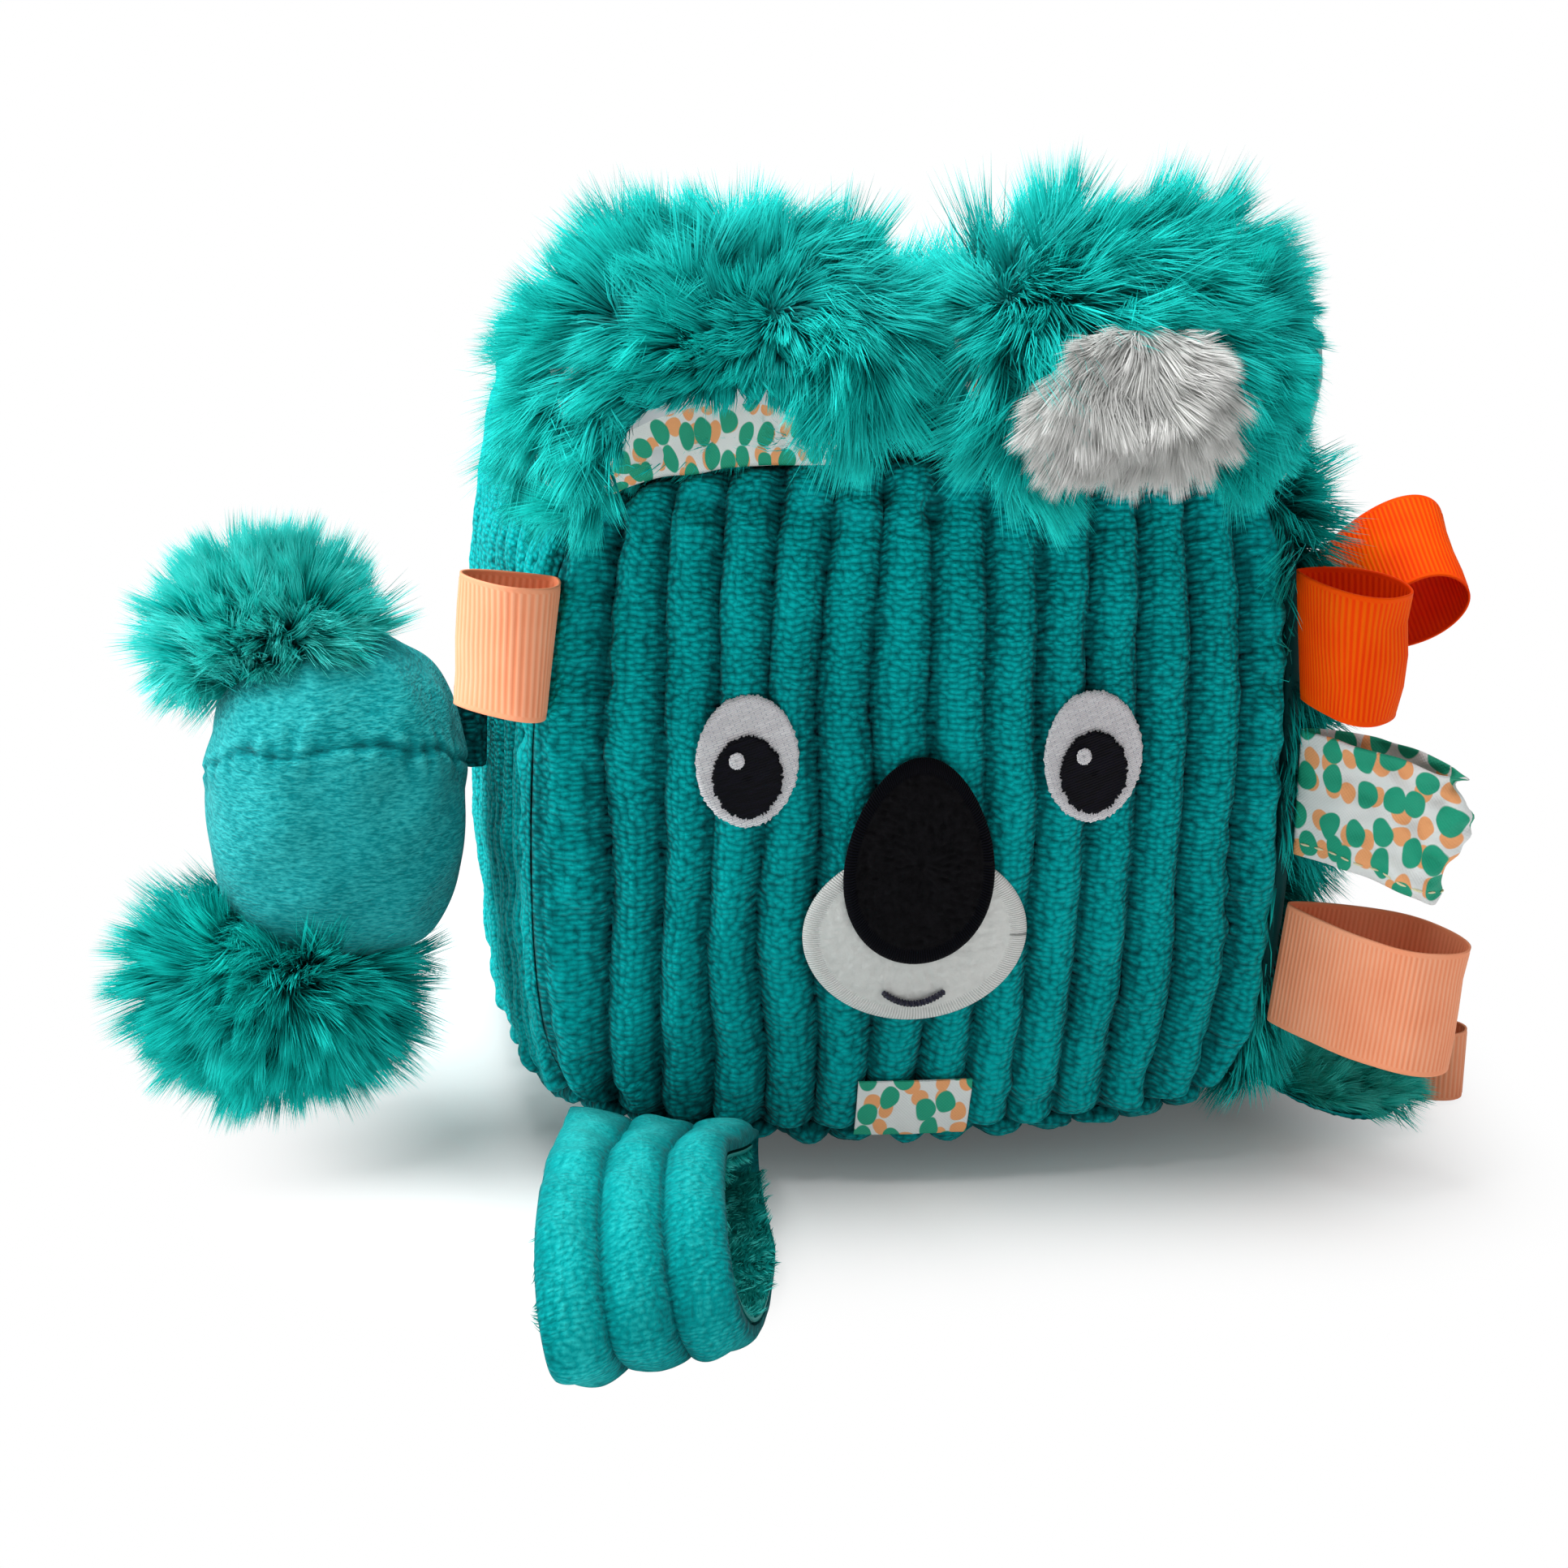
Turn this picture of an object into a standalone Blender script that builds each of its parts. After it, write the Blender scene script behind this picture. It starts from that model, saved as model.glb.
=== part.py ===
"""Soft fabric activity block for a baby.

A foam cube with a rattle inside is covered by six sewn panels: ribbed velour at the front, left and
bottom, long fur at the top and right, plain velour at the back. An appliqued animal face, two floppy
fur ears, a hand strap, ribbon and print loops, a foot flap and a small tethered plush head are sewn
into its seams.

Metres, +Z up. The origin is on the floor under the middle of the block, and the face looks along -Y.
"""

import math

import bmesh
import bpy
from mathutils import Matrix, Vector

# The cube: half sizes to the sewn corners, and how far its seams and faces swell past them
SEAM_HALF_WIDTH = 0.0705
SEAM_HALF_HEIGHT = 0.065
SEAM_BOW = 0.0035
CORNER_PULL = 0.004
CORNER_PULL_POWER = 6
FACE_CROWN_POWER = 2.5
FLOOR_CUT = 0.0005
CROWN_FRONT = 0.007
CROWN_BACK = 0.006
CROWN_SIDE = 0.0035
CROWN_TOP = 0.007
CROWN_BOTTOM = 0.007

# The covers
COVER_THICKNESS = 0.005
RIB_COUNT = 14
RIB_HEIGHT = 0.0026
RIB_STATION_SHARES = ((0.0, 0.0), (0.18, 0.72), (0.4, 1.0), (0.6, 1.0), (0.82, 0.72))
BOTTOM_RIB_PHASE_SHARE = 0.5
FUR_PILE_TOP = 0.005
FUR_PILE_SIDE = 0.008
COVER_SHARES = (-1.0, -0.9, -0.62, -0.2, 0.2, 0.62, 0.9, 1.0)
FOAM_STEPS = 6

# Clearances between pieces that touch in the real toy
TOUCH = 0.0003
CORE_CLEARANCE = 0.0011
SEAM_CLEARANCE = 0.0004

# The foam and the rattle ball in its pocket
POCKET_RADIUS = 0.023
CUTTER_OVERRUN = 0.02
RATTLE_WALL = 0.0015
PELLET_RADIUS = 0.004
PELLET_COUNT = 3
RATTLE_STEPS = 8

# The appliqued face, as places and half sizes on the front cover
PATCH_THICKNESS = 0.0012
STITCH_THICKNESS = 0.0006
PATCH_EDGE_SHARE = 0.45
PATCH_ROUND_POWER = 4
MUZZLE_HEIGHT = 0.056
MUZZLE_HALF_WIDTH = 0.022
MUZZLE_HALF_HEIGHT = 0.018
NOSE_HEIGHT = 0.0715
NOSE_HALF_WIDTH = 0.0145
NOSE_HALF_HEIGHT = 0.021
NOSE_TAPER_SHARE = 0.16
FACE_OFFSET = -0.002
EYE_SPACING = 0.067
EYE_HEIGHT = 0.0915
EYE_HALF_WIDTH = 0.0098
EYE_HALF_HEIGHT = 0.0132
PUPIL_HALF_WIDTH = 0.0066
PUPIL_HALF_HEIGHT = 0.0082
PUPIL_DROP = 0.003
MOUTH_HALF_WIDTH = 0.0062
MOUTH_HEIGHT = 0.0446
MOUTH_DIP = 0.0026
MOUTH_THREAD_RADIUS = 0.0005
MOUTH_POINTS = 9

# The ears: a plate of two cloths that rises from the seam and folds forward over itself
EAR_LEFT_SPAN = (-0.0760, -0.0115)
EAR_RIGHT_SPAN = (0.0010, 0.0675)
EAR_LEFT_RISE = 0.030
EAR_RIGHT_RISE = 0.031
EAR_FOLD_RADIUS = 0.0115
EAR_LEFT_FALL = 0.006
EAR_RIGHT_FALL = 0.013
EAR_FUR = 0.0115
EAR_FILM = 0.0005
EAR_LINING = 0.0012
EAR_ROOT_GAP = 0.0007
EAR_ROOT_FORWARD = 0.0019
EAR_LEAN = math.radians(12)
EAR_SIDE_DROOP = 0.008
EAR_ROOT_WIDTH_SHARE = 0.70
EAR_TIP_WIDTH_SHARE = 0.80
EAR_ROOT_FUR_SHARE = 0.10
EAR_EDGE_FUR_SHARE = 0.30
EAR_GROWN_SHARE = 0.45
EAR_ROOT_FUR_END_SHARE = 0.30
EAR_FREE_FUR_START_SHARE = 0.80
EAR_FREE_FUR_LOSS_SHARE = 0.75
EAR_STEPS = 12
EAR_COLUMNS = 8
TUFT_FUR = 0.006
TUFT_SEAT = 0.0013
TUFT_STEPS = 8
TUFT_ACROSS_SHARES = (-0.68, 0.28)
TUFT_ALONG_SHARES = (0.75, 0.985)
TUFT_OVERHANG = 0.008

# The tethered plush head at the left side
BALL_OUT = 0.041
BALL_Y_SHARE = -0.61
TETHER_HEIGHT = 0.082
BALL_DROP = 0.009
BALL_HEIGHT = TETHER_HEIGHT - BALL_DROP
BALL_CENTRE = (-SEAM_HALF_WIDTH - BALL_OUT, BALL_Y_SHARE * SEAM_HALF_WIDTH, BALL_HEIGHT)
BALL_HALF_SIZES = (0.0255, 0.0270, 0.0315)
BALL_SQUARENESS = 2.7
BALL_COVER = 0.0015
BALL_STEPS = 8
BALL_EAR_TOP_OFFSET = (-0.0130, 0, 0.0355)
BALL_EAR_TOP_HALF_SIZES = (0.0285, 0.0150, 0.0175)
BALL_EAR_LOW_OFFSET = (-0.0125, 0, -0.0410)
BALL_EAR_LOW_HALF_SIZES = (0.0320, 0.0190, 0.0265)
BALL_EAR_SQUARENESS = 2.3
BALL_EAR_DROOP = 0.010
BALL_EAR_SEAT = 0.0008
BALL_FILLING_SLACK = 0.0013
TETHER_WIDTH = 0.018
TETHER_THICKNESS = 0.0042
TETHER_END_SEGMENTS = 12
TETHER_Y_SHARE = -0.383
TETHER_Y = TETHER_Y_SHARE * SEAM_HALF_WIDTH

# The hand strap: a ribbed loop that lies on the floor in front of the block
STRAP_WIDTH = 0.037
STRAP_LENGTH = 0.086
STRAP_BULGE = 0.0230
STRAP_ROOT_X = -0.0485
STRAP_YAW = math.radians(-9)
STRAP_SKEW_SHARE = 0.10
STRAP_RIBS = 3
STRAP_RIB_HEIGHT = 0.0022
STRAP_CLOTH = 0.0022
STRAP_LINING = 0.0014
STRAP_STEPS = 26
STRAP_BARE_STEPS = 3
STRAP_ROOT_CLOTH_SHARE = 0.20
STRAP_ROOT_DIP = 0.005
STRAP_TAPER_LENGTH = 0.036

# Ribbon and print loops: length out of the seam, width across the opening, width of the ribbon
RIBBON_THICKNESS = 0.0008
RIBBON_WIDTH = 0.0255
RIBBON_STEPS = 24
LOOP_NECK_SHARE = 0.22
LOOP_SWELL_POWER = 1.5
SLOPE_STEP = 0.001
RIBBON_ROOT_GAP = 0.0008
PEACH_LEFT_HEIGHT = 0.1125
PEACH_LEFT_LENGTH = 0.0210
PEACH_LEFT_BULGE = 0.0180
PEACH_LEFT_TURN = math.radians(46)
ORANGE_FRONT_HEIGHT = 0.1125
ORANGE_FRONT_LENGTH = 0.0260
ORANGE_FRONT_BULGE = 0.0190
ORANGE_FRONT_TURN = math.radians(46)
ORANGE_FRONT_TILT = math.radians(12)
PRINT_RIGHT_HEIGHT = 0.0805
PRINT_RIGHT_LENGTH = 0.0345
PRINT_RIGHT_BULGE = 0.0090
PRINT_RIGHT_TURN = math.radians(29)
PRINT_RIGHT_TILT = math.radians(11)
PRINT_RIGHT_DROP = 0.0050
PEACH_RIGHT_HEIGHT = 0.0445
PEACH_RIGHT_LENGTH = 0.0370
PEACH_RIGHT_BULGE = 0.0180
PEACH_RIGHT_TURN = math.radians(27)
PEACH_RIGHT_TILT = math.radians(6)
ORANGE_BACK_Y_SHARE = -0.51
ORANGE_BACK_HEIGHT_SHARE = 0.3923077
ORANGE_BACK_SINK = 0.0006
ORANGE_BACK_LENGTH = 0.0330
ORANGE_BACK_BULGE = 0.0170
ORANGE_BACK_RISE = math.radians(37)
ORANGE_BACK_LEAN = math.radians(23)
PRINT_BACK_HEIGHT = 0.1235
PRINT_BACK_LENGTH = 0.0460
PRINT_BACK_BULGE = 0.0090
PRINT_BACK_WIDTH = 0.020
PRINT_BACK_TURN = math.radians(31)
PRINT_TAB_HALF_WIDTH = 0.0117
PRINT_TAB_HEIGHT = 0.0130
PRINT_TAB_DROP = 0.0025

# The foot flap at the lower right seam, with its own small ribbon
FLAP_LENGTH = 0.036
FLAP_HALF_WIDTH = 0.021
FLAP_Y_SHARE = -0.54
FLAP_FUR = 0.0075
FLAP_CLOTH = 0.0028
FLAP_FLOOR_GAP = 0.0006
FLAP_ROOT_SHARE = 0.04
FLAP_FULL_SHARE = 0.9
SMALL_RIBBON_LENGTH = 0.0125
SMALL_RIBBON_BULGE = 0.0075
SMALL_RIBBON_WIDTH = 0.015

CENTRE_HEIGHT = SEAM_HALF_HEIGHT + 2 * SEAM_BOW + CROWN_BOTTOM - FLOOR_CUT
CENTRE = Vector((0, 0, CENTRE_HEIGHT))
CREST_STACK = TOUCH + PATCH_THICKNESS

# Each face of the cube: the way it looks, the line across its ribs and the line along them
AXES = "xyz"
FACE_LINES = {
    "front": ("-y", "x", "z"),
    "back": ("+y", "x", "z"),
    "left": ("-x", "y", "z"),
    "right": ("+x", "y", "z"),
    "top": ("+z", "x", "y"),
    "bottom": ("-z", "x", "y"),
}
CROWNS = {
    "front": CROWN_FRONT,
    "back": CROWN_BACK,
    "left": CROWN_SIDE,
    "right": CROWN_SIDE,
    "top": CROWN_TOP,
    "bottom": CROWN_BOTTOM,
}


def clear_scene():
    """Removes whatever the file holds."""
    for item in list(bpy.data.objects):
        bpy.data.objects.remove(item, do_unlink=True)


def new_collection(name):
    group = bpy.data.collections.new(name)
    bpy.context.scene.collection.children.link(group)
    return group


clear_scene()
PARTS = new_collection("soft_fabric_block")
CUTTERS = new_collection("cutters")


def material(name, colour, roughness):
    """A plain finish for one kind of cloth, thread or plastic."""
    finish = bpy.data.materials.new(name)
    finish.use_nodes = True
    shader = finish.node_tree.nodes["Principled BSDF"]
    shader.inputs["Base Color"].default_value = (*colour, 1.0)
    shader.inputs["Roughness"].default_value = roughness
    shader.inputs["Metallic"].default_value = 0.0
    return finish


RIBBED_VELOUR = material("ribbed_velour", (0.002, 0.205, 0.190), 0.85)
PLAIN_VELOUR = material("plain_velour", (0.045, 0.480, 0.440), 0.80)
STRAP_VELOUR = material("strap_velour", (0.010, 0.450, 0.410), 0.80)
TEAL_FUR = material("teal_fur", (0.002, 0.350, 0.305), 0.75)
WHITE_FUR = material("white_fur", (0.76, 0.76, 0.75), 0.75)
PEACH_RIBBON = material("peach_ribbon", (1.0, 0.40, 0.22), 0.55)
ORANGE_RIBBON = material("orange_ribbon", (1.0, 0.09, 0.002), 0.50)
PRINT_COTTON = material("print_cotton", (0.75, 0.80, 0.78), 0.65)
BLACK_PLUSH = material("black_plush", (0.004, 0.004, 0.006), 0.85)
WHITE_PLUSH = material("white_plush", (0.72, 0.72, 0.71), 0.80)
NAVY_THREAD = material("navy_thread", (0.003, 0.003, 0.012), 0.45)
FOAM = material("foam", (0.85, 0.84, 0.78), 0.95)
FILM = material("crinkle_film", (0.80, 0.80, 0.80), 0.25)
SHELL_PLASTIC = material("shell_plastic", (0.80, 0.80, 0.78), 0.40)
PELLET_PLASTIC = material("pellet_plastic", (0.15, 0.35, 0.60), 0.35)
STUFFING = material("stuffing", (0.88, 0.88, 0.86), 0.95)


def hinge_empty(name, location):
    """The parent of a moving body's pieces, standing on the line that it turns about."""
    empty = bpy.data.objects.new(name, None)
    empty.location = location
    PARTS.objects.link(empty)
    return empty


def add_piece(name, bm, finish, hinge=None):
    """Makes one piece of the toy from a bmesh in world coordinates."""
    bmesh.ops.recalc_face_normals(bm, faces=bm.faces[:])
    closed = all(edge.is_manifold for edge in bm.edges)
    if closed and bm.calc_volume(signed=True) < 0:
        bmesh.ops.reverse_faces(bm, faces=bm.faces[:])
    mesh = bpy.data.meshes.new(name)
    bm.to_mesh(mesh)
    bm.free()
    mesh.shade_smooth()
    mesh.materials.append(finish)
    piece = bpy.data.objects.new(name, mesh)
    PARTS.objects.link(piece)
    if hinge:
        piece.parent = hinge
        piece.matrix_parent_inverse = Matrix.Translation(hinge.location).inverted()
    return piece


def cut(piece, cutter):
    """Takes a cutter's shape out of a piece, and puts the cutter away."""
    for group in list(cutter.users_collection):
        group.objects.unlink(cutter)
    CUTTERS.objects.link(cutter)
    cutter.hide_render = True
    cutter.display_type = "WIRE"
    knife = piece.modifiers.new("cut_" + cutter.name, "BOOLEAN")
    knife.operation = "DIFFERENCE"
    knife.solver = "EXACT"
    knife.object = cutter


def even_shares(steps):
    """Evenly spaced values from -1 to 1."""
    return [2 * i / steps - 1 for i in range(steps + 1)]


def layered_sheet(columns, rows, place):
    """A closed slab over a grid: place(column, row, layer) gives each point, layer 0 inside and 1 outside."""
    bm = bmesh.new()
    across, along = len(columns) - 1, len(rows) - 1
    bmesh.ops.create_grid(bm, x_segments=across, y_segments=along, size=1)
    bmesh.ops.solidify(bm, geom=bm.faces[:], thickness=1)
    for vertex in bm.verts:
        column = columns[round((vertex.co.x + 1) / 2 * across)]
        row = rows[round((vertex.co.y + 1) / 2 * along)]
        vertex.co = place(column, row, round(vertex.co.z + 1))
    return bm


def disc_point(a, b):
    """Spreads a square's point over the unit disc."""
    return a * math.sqrt(1 - b * b / 2), b * math.sqrt(1 - a * a / 2)


def pad_share(a, b):
    """How thick a padded disc is at a point of the unit disc, against its thickness in the middle."""
    radius = min(1, math.hypot(a, b))
    return PATCH_EDGE_SHARE + (1 - PATCH_EDGE_SHARE) * math.sqrt(1 - radius ** PATCH_ROUND_POWER)


def face_axes(face):
    """A face's axis and its side of it, then the axes across and along it, as numbers."""
    look, across, along = FACE_LINES[face]
    side = -1 if look[0] == "-" else 1
    return AXES.index(look[1]), side, AXES.index(across), AXES.index(along)


def face_crown(share):
    """How much of a face's crown is left at a share of the way from its middle to its seam."""
    return math.sqrt(max(0, 1 - abs(share) ** FACE_CROWN_POWER))


def cube_point(shares, inset=0, pile=0):
    """The point of the stuffed cube's skin for a point of the unit cube, moved in by an inset."""
    halves = [SEAM_HALF_WIDTH - inset, SEAM_HALF_WIDTH - inset, SEAM_HALF_HEIGHT - inset]
    pull = CORNER_PULL * abs(shares[0] * shares[1] * shares[2]) ** CORNER_PULL_POWER
    point = Vector(CENTRE)
    for face, crown in CROWNS.items():
        axis, side, across, along = face_axes(face)
        a, b = shares[across], shares[along]
        if side < 0:
            bow = SEAM_BOW * ((1 - a * a) + (1 - b * b))
            point[axis] += shares[axis] * (halves[axis] + bow - pull)
        if shares[axis] * side > 1 - 1e-6:
            point[axis] += side * (crown + pile) * face_crown(a) * face_crown(b)
    return point


def cover_point(face, a, b, inset=0, pile=0):
    """The point of one face's skin at shares a across its ribs and b along them."""
    axis, side, across, along = face_axes(face)
    shares = [0.0, 0.0, 0.0]
    shares[axis], shares[across], shares[along] = side, a, b
    return cube_point(shares, inset, pile)


def rib_stations(count, phase=0):
    """The columns over a row of ribs: each one's share across the cloth and its share of a rib's height."""
    stations = [(-1.0, 1.0)]
    for rib in range(-1, count + 1):
        for share, height in RIB_STATION_SHARES:
            place = (rib + share + phase) / count
            if 0 < place < 1:
                stations.append((2 * place - 1, height))
    stations.append((1.0, 1.0))
    return stations


def ribbed_cover(name, face, phase=0):
    """A cover of ribbed velour, flat where it would pass below the floor."""
    edge = 1 - SEAM_CLEARANCE / SEAM_HALF_WIDTH

    def place(column, row, layer):
        share, height = column
        inset = RIB_HEIGHT * (1 - height) if layer else COVER_THICKNESS
        point = cover_point(face, share * edge, row * edge, inset)
        point.z = max(point.z, 0)
        return point

    bm = layered_sheet(rib_stations(RIB_COUNT, phase), COVER_SHARES, place)
    return add_piece(name, bm, RIBBED_VELOUR)


def smooth_cover(name, face, pile, finish):
    """A cover of plain velour or of fur, whose pile swells from its seams to its middle."""
    edge = 1 - SEAM_CLEARANCE / SEAM_HALF_WIDTH

    def place(a, b, layer):
        inset, height = (0, pile) if layer else (COVER_THICKNESS, 0)
        return cover_point(face, a * edge, b * edge, inset, height)

    return add_piece(name, layered_sheet(COVER_SHARES, COVER_SHARES, place), finish)


def block_covers():
    """The six sewn panels of the cube."""
    ribbed_cover("front_panel", "front")
    ribbed_cover("left_panel", "left")
    ribbed_cover("bottom_panel", "bottom", BOTTOM_RIB_PHASE_SHARE)
    smooth_cover("back_panel", "back", 0, PLAIN_VELOUR)
    smooth_cover("top_panel", "top", FUR_PILE_TOP, TEAL_FUR)
    smooth_cover("right_panel", "right", FUR_PILE_SIDE, TEAL_FUR)


def pocket_cylinder(name, radius, front, back, finish):
    """A cylinder along Y at the cube's middle height."""
    bm = bmesh.new()
    bmesh.ops.create_cone(bm, cap_ends=True, segments=32, radius1=radius, radius2=radius,
                          depth=back - front)
    bmesh.ops.rotate(bm, verts=bm.verts[:], matrix=Matrix.Rotation(math.pi / 2, 3, "X"))
    middle = CENTRE + Vector((0, (front + back) / 2, 0))
    bmesh.ops.translate(bm, verts=bm.verts[:], vec=middle)
    return add_piece(name, bm, finish)


def foam_block():
    """The foam cube with a pocket bored from its back, and the foam plug that closes the pocket."""
    inset = COVER_THICKNESS + CORE_CLEARANCE
    bm = bmesh.new()
    bmesh.ops.create_cube(bm, size=2)
    bmesh.ops.subdivide_edges(bm, edges=bm.edges[:], cuts=FOAM_STEPS - 1, use_grid_fill=True)
    for vertex in bm.verts:
        shares = [math.sin(math.pi / 2 * value) for value in vertex.co]
        vertex.co = cube_point(shares, inset)
    core = add_piece("foam_core", bm, FOAM)
    ball_reach = POCKET_RADIUS
    back = SEAM_HALF_WIDTH + 2 * SEAM_BOW + CROWN_BACK - inset
    cutter = pocket_cylinder("pocket_cutter", POCKET_RADIUS, -ball_reach, back + CUTTER_OVERRUN, FOAM)
    cut(core, cutter)
    dish = CROWN_BACK * (1 - face_crown(POCKET_RADIUS / SEAM_HALF_WIDTH) ** 2)
    dish += 2 * SEAM_BOW * (POCKET_RADIUS / SEAM_HALF_WIDTH) ** 2
    pocket_cylinder("foam_plug", POCKET_RADIUS - TOUCH, ball_reach, back - dish, FOAM)


def super_radius(direction, halves, power):
    """How far a rounded box with these half sizes reaches along a unit direction."""
    total = sum(abs(direction[i] / halves[i]) ** power for i in range(3))
    return total ** (-1 / power)


def dome_shell(centre, side, outer, inner, power, steps):
    """The upper or lower half of a rounded box's wall, a touch clear of its middle height."""

    def place(column, row, layer):
        a, b = disc_point(column, row)
        tilt = math.pi / 2 * min(1, math.hypot(a, b))
        turn = math.atan2(b, a)
        flat = math.sin(tilt)
        direction = Vector((flat * math.cos(turn), flat * math.sin(turn), side * math.cos(tilt)))
        reach = super_radius(direction, outer if layer else inner, power)
        return Vector(centre) + Vector((0, 0, side * TOUCH / 2)) + direction * reach

    shares = even_shares(steps)
    return layered_sheet(shares, shares, place)


def rattle():
    """A round plastic rattle: two shells, and loose pellets on the floor of the lower one."""
    outer = [POCKET_RADIUS - TOUCH] * 3
    inner = [POCKET_RADIUS - TOUCH - RATTLE_WALL] * 3
    add_piece("rattle_shell_upper", dome_shell(CENTRE, 1, outer, inner, 2, RATTLE_STEPS), SHELL_PLASTIC)
    add_piece("rattle_shell_lower", dome_shell(CENTRE, -1, outer, inner, 2, RATTLE_STEPS), SHELL_PLASTIC)
    reach = POCKET_RADIUS - TOUCH - RATTLE_WALL - PELLET_RADIUS - 2 * TOUCH
    spread = (2 * PELLET_RADIUS + TOUCH) / math.sqrt(3)
    drop = math.sqrt(reach * reach - spread * spread)
    for i in range(PELLET_COUNT):
        angle = 2 * math.pi * i / PELLET_COUNT
        offset = Vector((spread * math.cos(angle), spread * math.sin(angle), -drop))
        seat = Matrix.Translation(CENTRE + offset)
        bm = bmesh.new()
        bmesh.ops.create_uvsphere(bm, u_segments=8, v_segments=6, radius=PELLET_RADIUS, matrix=seat)
        add_piece(f"rattle_pellet_{i + 1}", bm, PELLET_PLASTIC)


def front_shares(x, z):
    """The shares across and along the front cover at a place off the block's axis and above the floor."""
    return x / (SEAM_HALF_WIDTH + SEAM_BOW), (z - CENTRE_HEIGHT) / (SEAM_HALF_HEIGHT + SEAM_BOW)


def face_patch(name, centre, halves, base, thickness, finish, steps, taper=0):
    """A padded applique on the front cover's crests: a tapered oval that thins towards its sewn edge."""

    def place(column, row, layer):
        a, b = disc_point(column, row)
        width = halves[0] * (1 - taper * b)
        x = centre[0] + a * width
        z = centre[1] + b * halves[1]
        point = cover_point("front", *front_shares(x, z))
        point.y -= base + layer * thickness * pad_share(a, b)
        return point

    steps = even_shares(steps)
    return add_piece(name, layered_sheet(steps, steps, place), finish)


def animal_face():
    """White muzzle, black nose, stitched smile and two stitched eyes, the same on both sides."""
    face_patch("muzzle_patch", (FACE_OFFSET, MUZZLE_HEIGHT), (MUZZLE_HALF_WIDTH, MUZZLE_HALF_HEIGHT),
               TOUCH, PATCH_THICKNESS, WHITE_PLUSH, 8)
    face_patch("nose_patch", (FACE_OFFSET, NOSE_HEIGHT), (NOSE_HALF_WIDTH, NOSE_HALF_HEIGHT),
               CREST_STACK + TOUCH, PATCH_THICKNESS, BLACK_PLUSH, 8, NOSE_TAPER_SHARE)
    for side, label in ((-1, "left"), (1, "right")):
        x = FACE_OFFSET + side * EYE_SPACING / 2
        face_patch("eye_white_" + label, (x, EYE_HEIGHT), (EYE_HALF_WIDTH, EYE_HALF_HEIGHT),
                   TOUCH, STITCH_THICKNESS, WHITE_PLUSH, 6)
        face_patch("eye_pupil_" + label, (x, EYE_HEIGHT - PUPIL_DROP), (PUPIL_HALF_WIDTH, PUPIL_HALF_HEIGHT),
                   2 * TOUCH + STITCH_THICKNESS, STITCH_THICKNESS, NAVY_THREAD, 6)
    mouth_stitch()


def mouth_stitch():
    """One curved line of thread on the muzzle."""
    path = bpy.data.curves.new("mouth_line", "CURVE")
    path.dimensions = "3D"
    path.bevel_depth = MOUTH_THREAD_RADIUS
    path.bevel_resolution = 1
    path.use_fill_caps = True
    line = path.splines.new("POLY")
    line.points.add(MOUTH_POINTS - 1)
    for i, share in enumerate(even_shares(MOUTH_POINTS - 1)):
        x = FACE_OFFSET + share * MOUTH_HALF_WIDTH
        z = MOUTH_HEIGHT - MOUTH_DIP * (1 - share * share)
        point = cover_point("front", *front_shares(x, z))
        point.y -= CREST_STACK + TOUCH + MOUTH_THREAD_RADIUS
        line.points[i].co = (*point, 1)
    thread = bpy.data.objects.new("mouth_stitch", path)
    PARTS.objects.link(thread)
    path.materials.append(NAVY_THREAD)


def seam_point(first, second, share):
    """A point on the seam of two faces, at a share of the way from its middle to its end."""
    shares = [share, share, share]
    for face in (first, second):
        axis, side = face_axes(face)[:2]
        shares[axis] = side
    return cube_point(shares)


def ear_root(span, column):
    """A point of an ear's sewn root, a little clear of the top front seam and in front of it."""
    middle, half = (span[0] + span[1]) / 2, (span[1] - span[0]) / 2
    x = middle + half * EAR_ROOT_WIDTH_SHARE * column
    seam = seam_point("front", "top", x / (SEAM_HALF_WIDTH + SEAM_BOW))
    return seam + Vector((0, -EAR_ROOT_FORWARD, EAR_ROOT_GAP))


def ear_frame(span, rise, fall, column, along):
    """The middle surface of an ear and its outward normal, at a share across and a share along it."""
    bend = math.pi * EAR_FOLD_RADIUS
    length = rise + bend + fall
    run = along * length
    if run < rise:
        forward, up, turn = 0, run, 0
    elif run < rise + bend:
        turn = (run - rise) / EAR_FOLD_RADIUS
        forward = EAR_FOLD_RADIUS * (1 - math.cos(turn))
        up = rise + EAR_FOLD_RADIUS * math.sin(turn)
    else:
        forward, up, turn = 2 * EAR_FOLD_RADIUS, rise - (run - rise - bend), math.pi
    grown = math.sin(math.pi / 2 * min(1, along / EAR_GROWN_SHARE))
    width = EAR_ROOT_WIDTH_SHARE + (1 - EAR_ROOT_WIDTH_SHARE) * grown
    past = max(0, (along - EAR_GROWN_SHARE) / (1 - EAR_GROWN_SHARE))
    width *= 1 - (1 - EAR_TIP_WIDTH_SHARE) * past ** 3
    middle, half = (span[0] + span[1]) / 2, (span[1] - span[0]) / 2
    base = ear_root(span, column)
    droop = EAR_SIDE_DROOP * column * column * grown
    x = base.x + (middle + half * width * column - base.x) * grown
    lean = Matrix.Rotation(EAR_LEAN, 3, "X")
    point = Vector((x, base.y, base.z)) + lean @ Vector((0, -forward, up)) - Vector((0, 0, droop))
    return point, lean @ Vector((0, math.cos(turn), math.sin(turn)))


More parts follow.
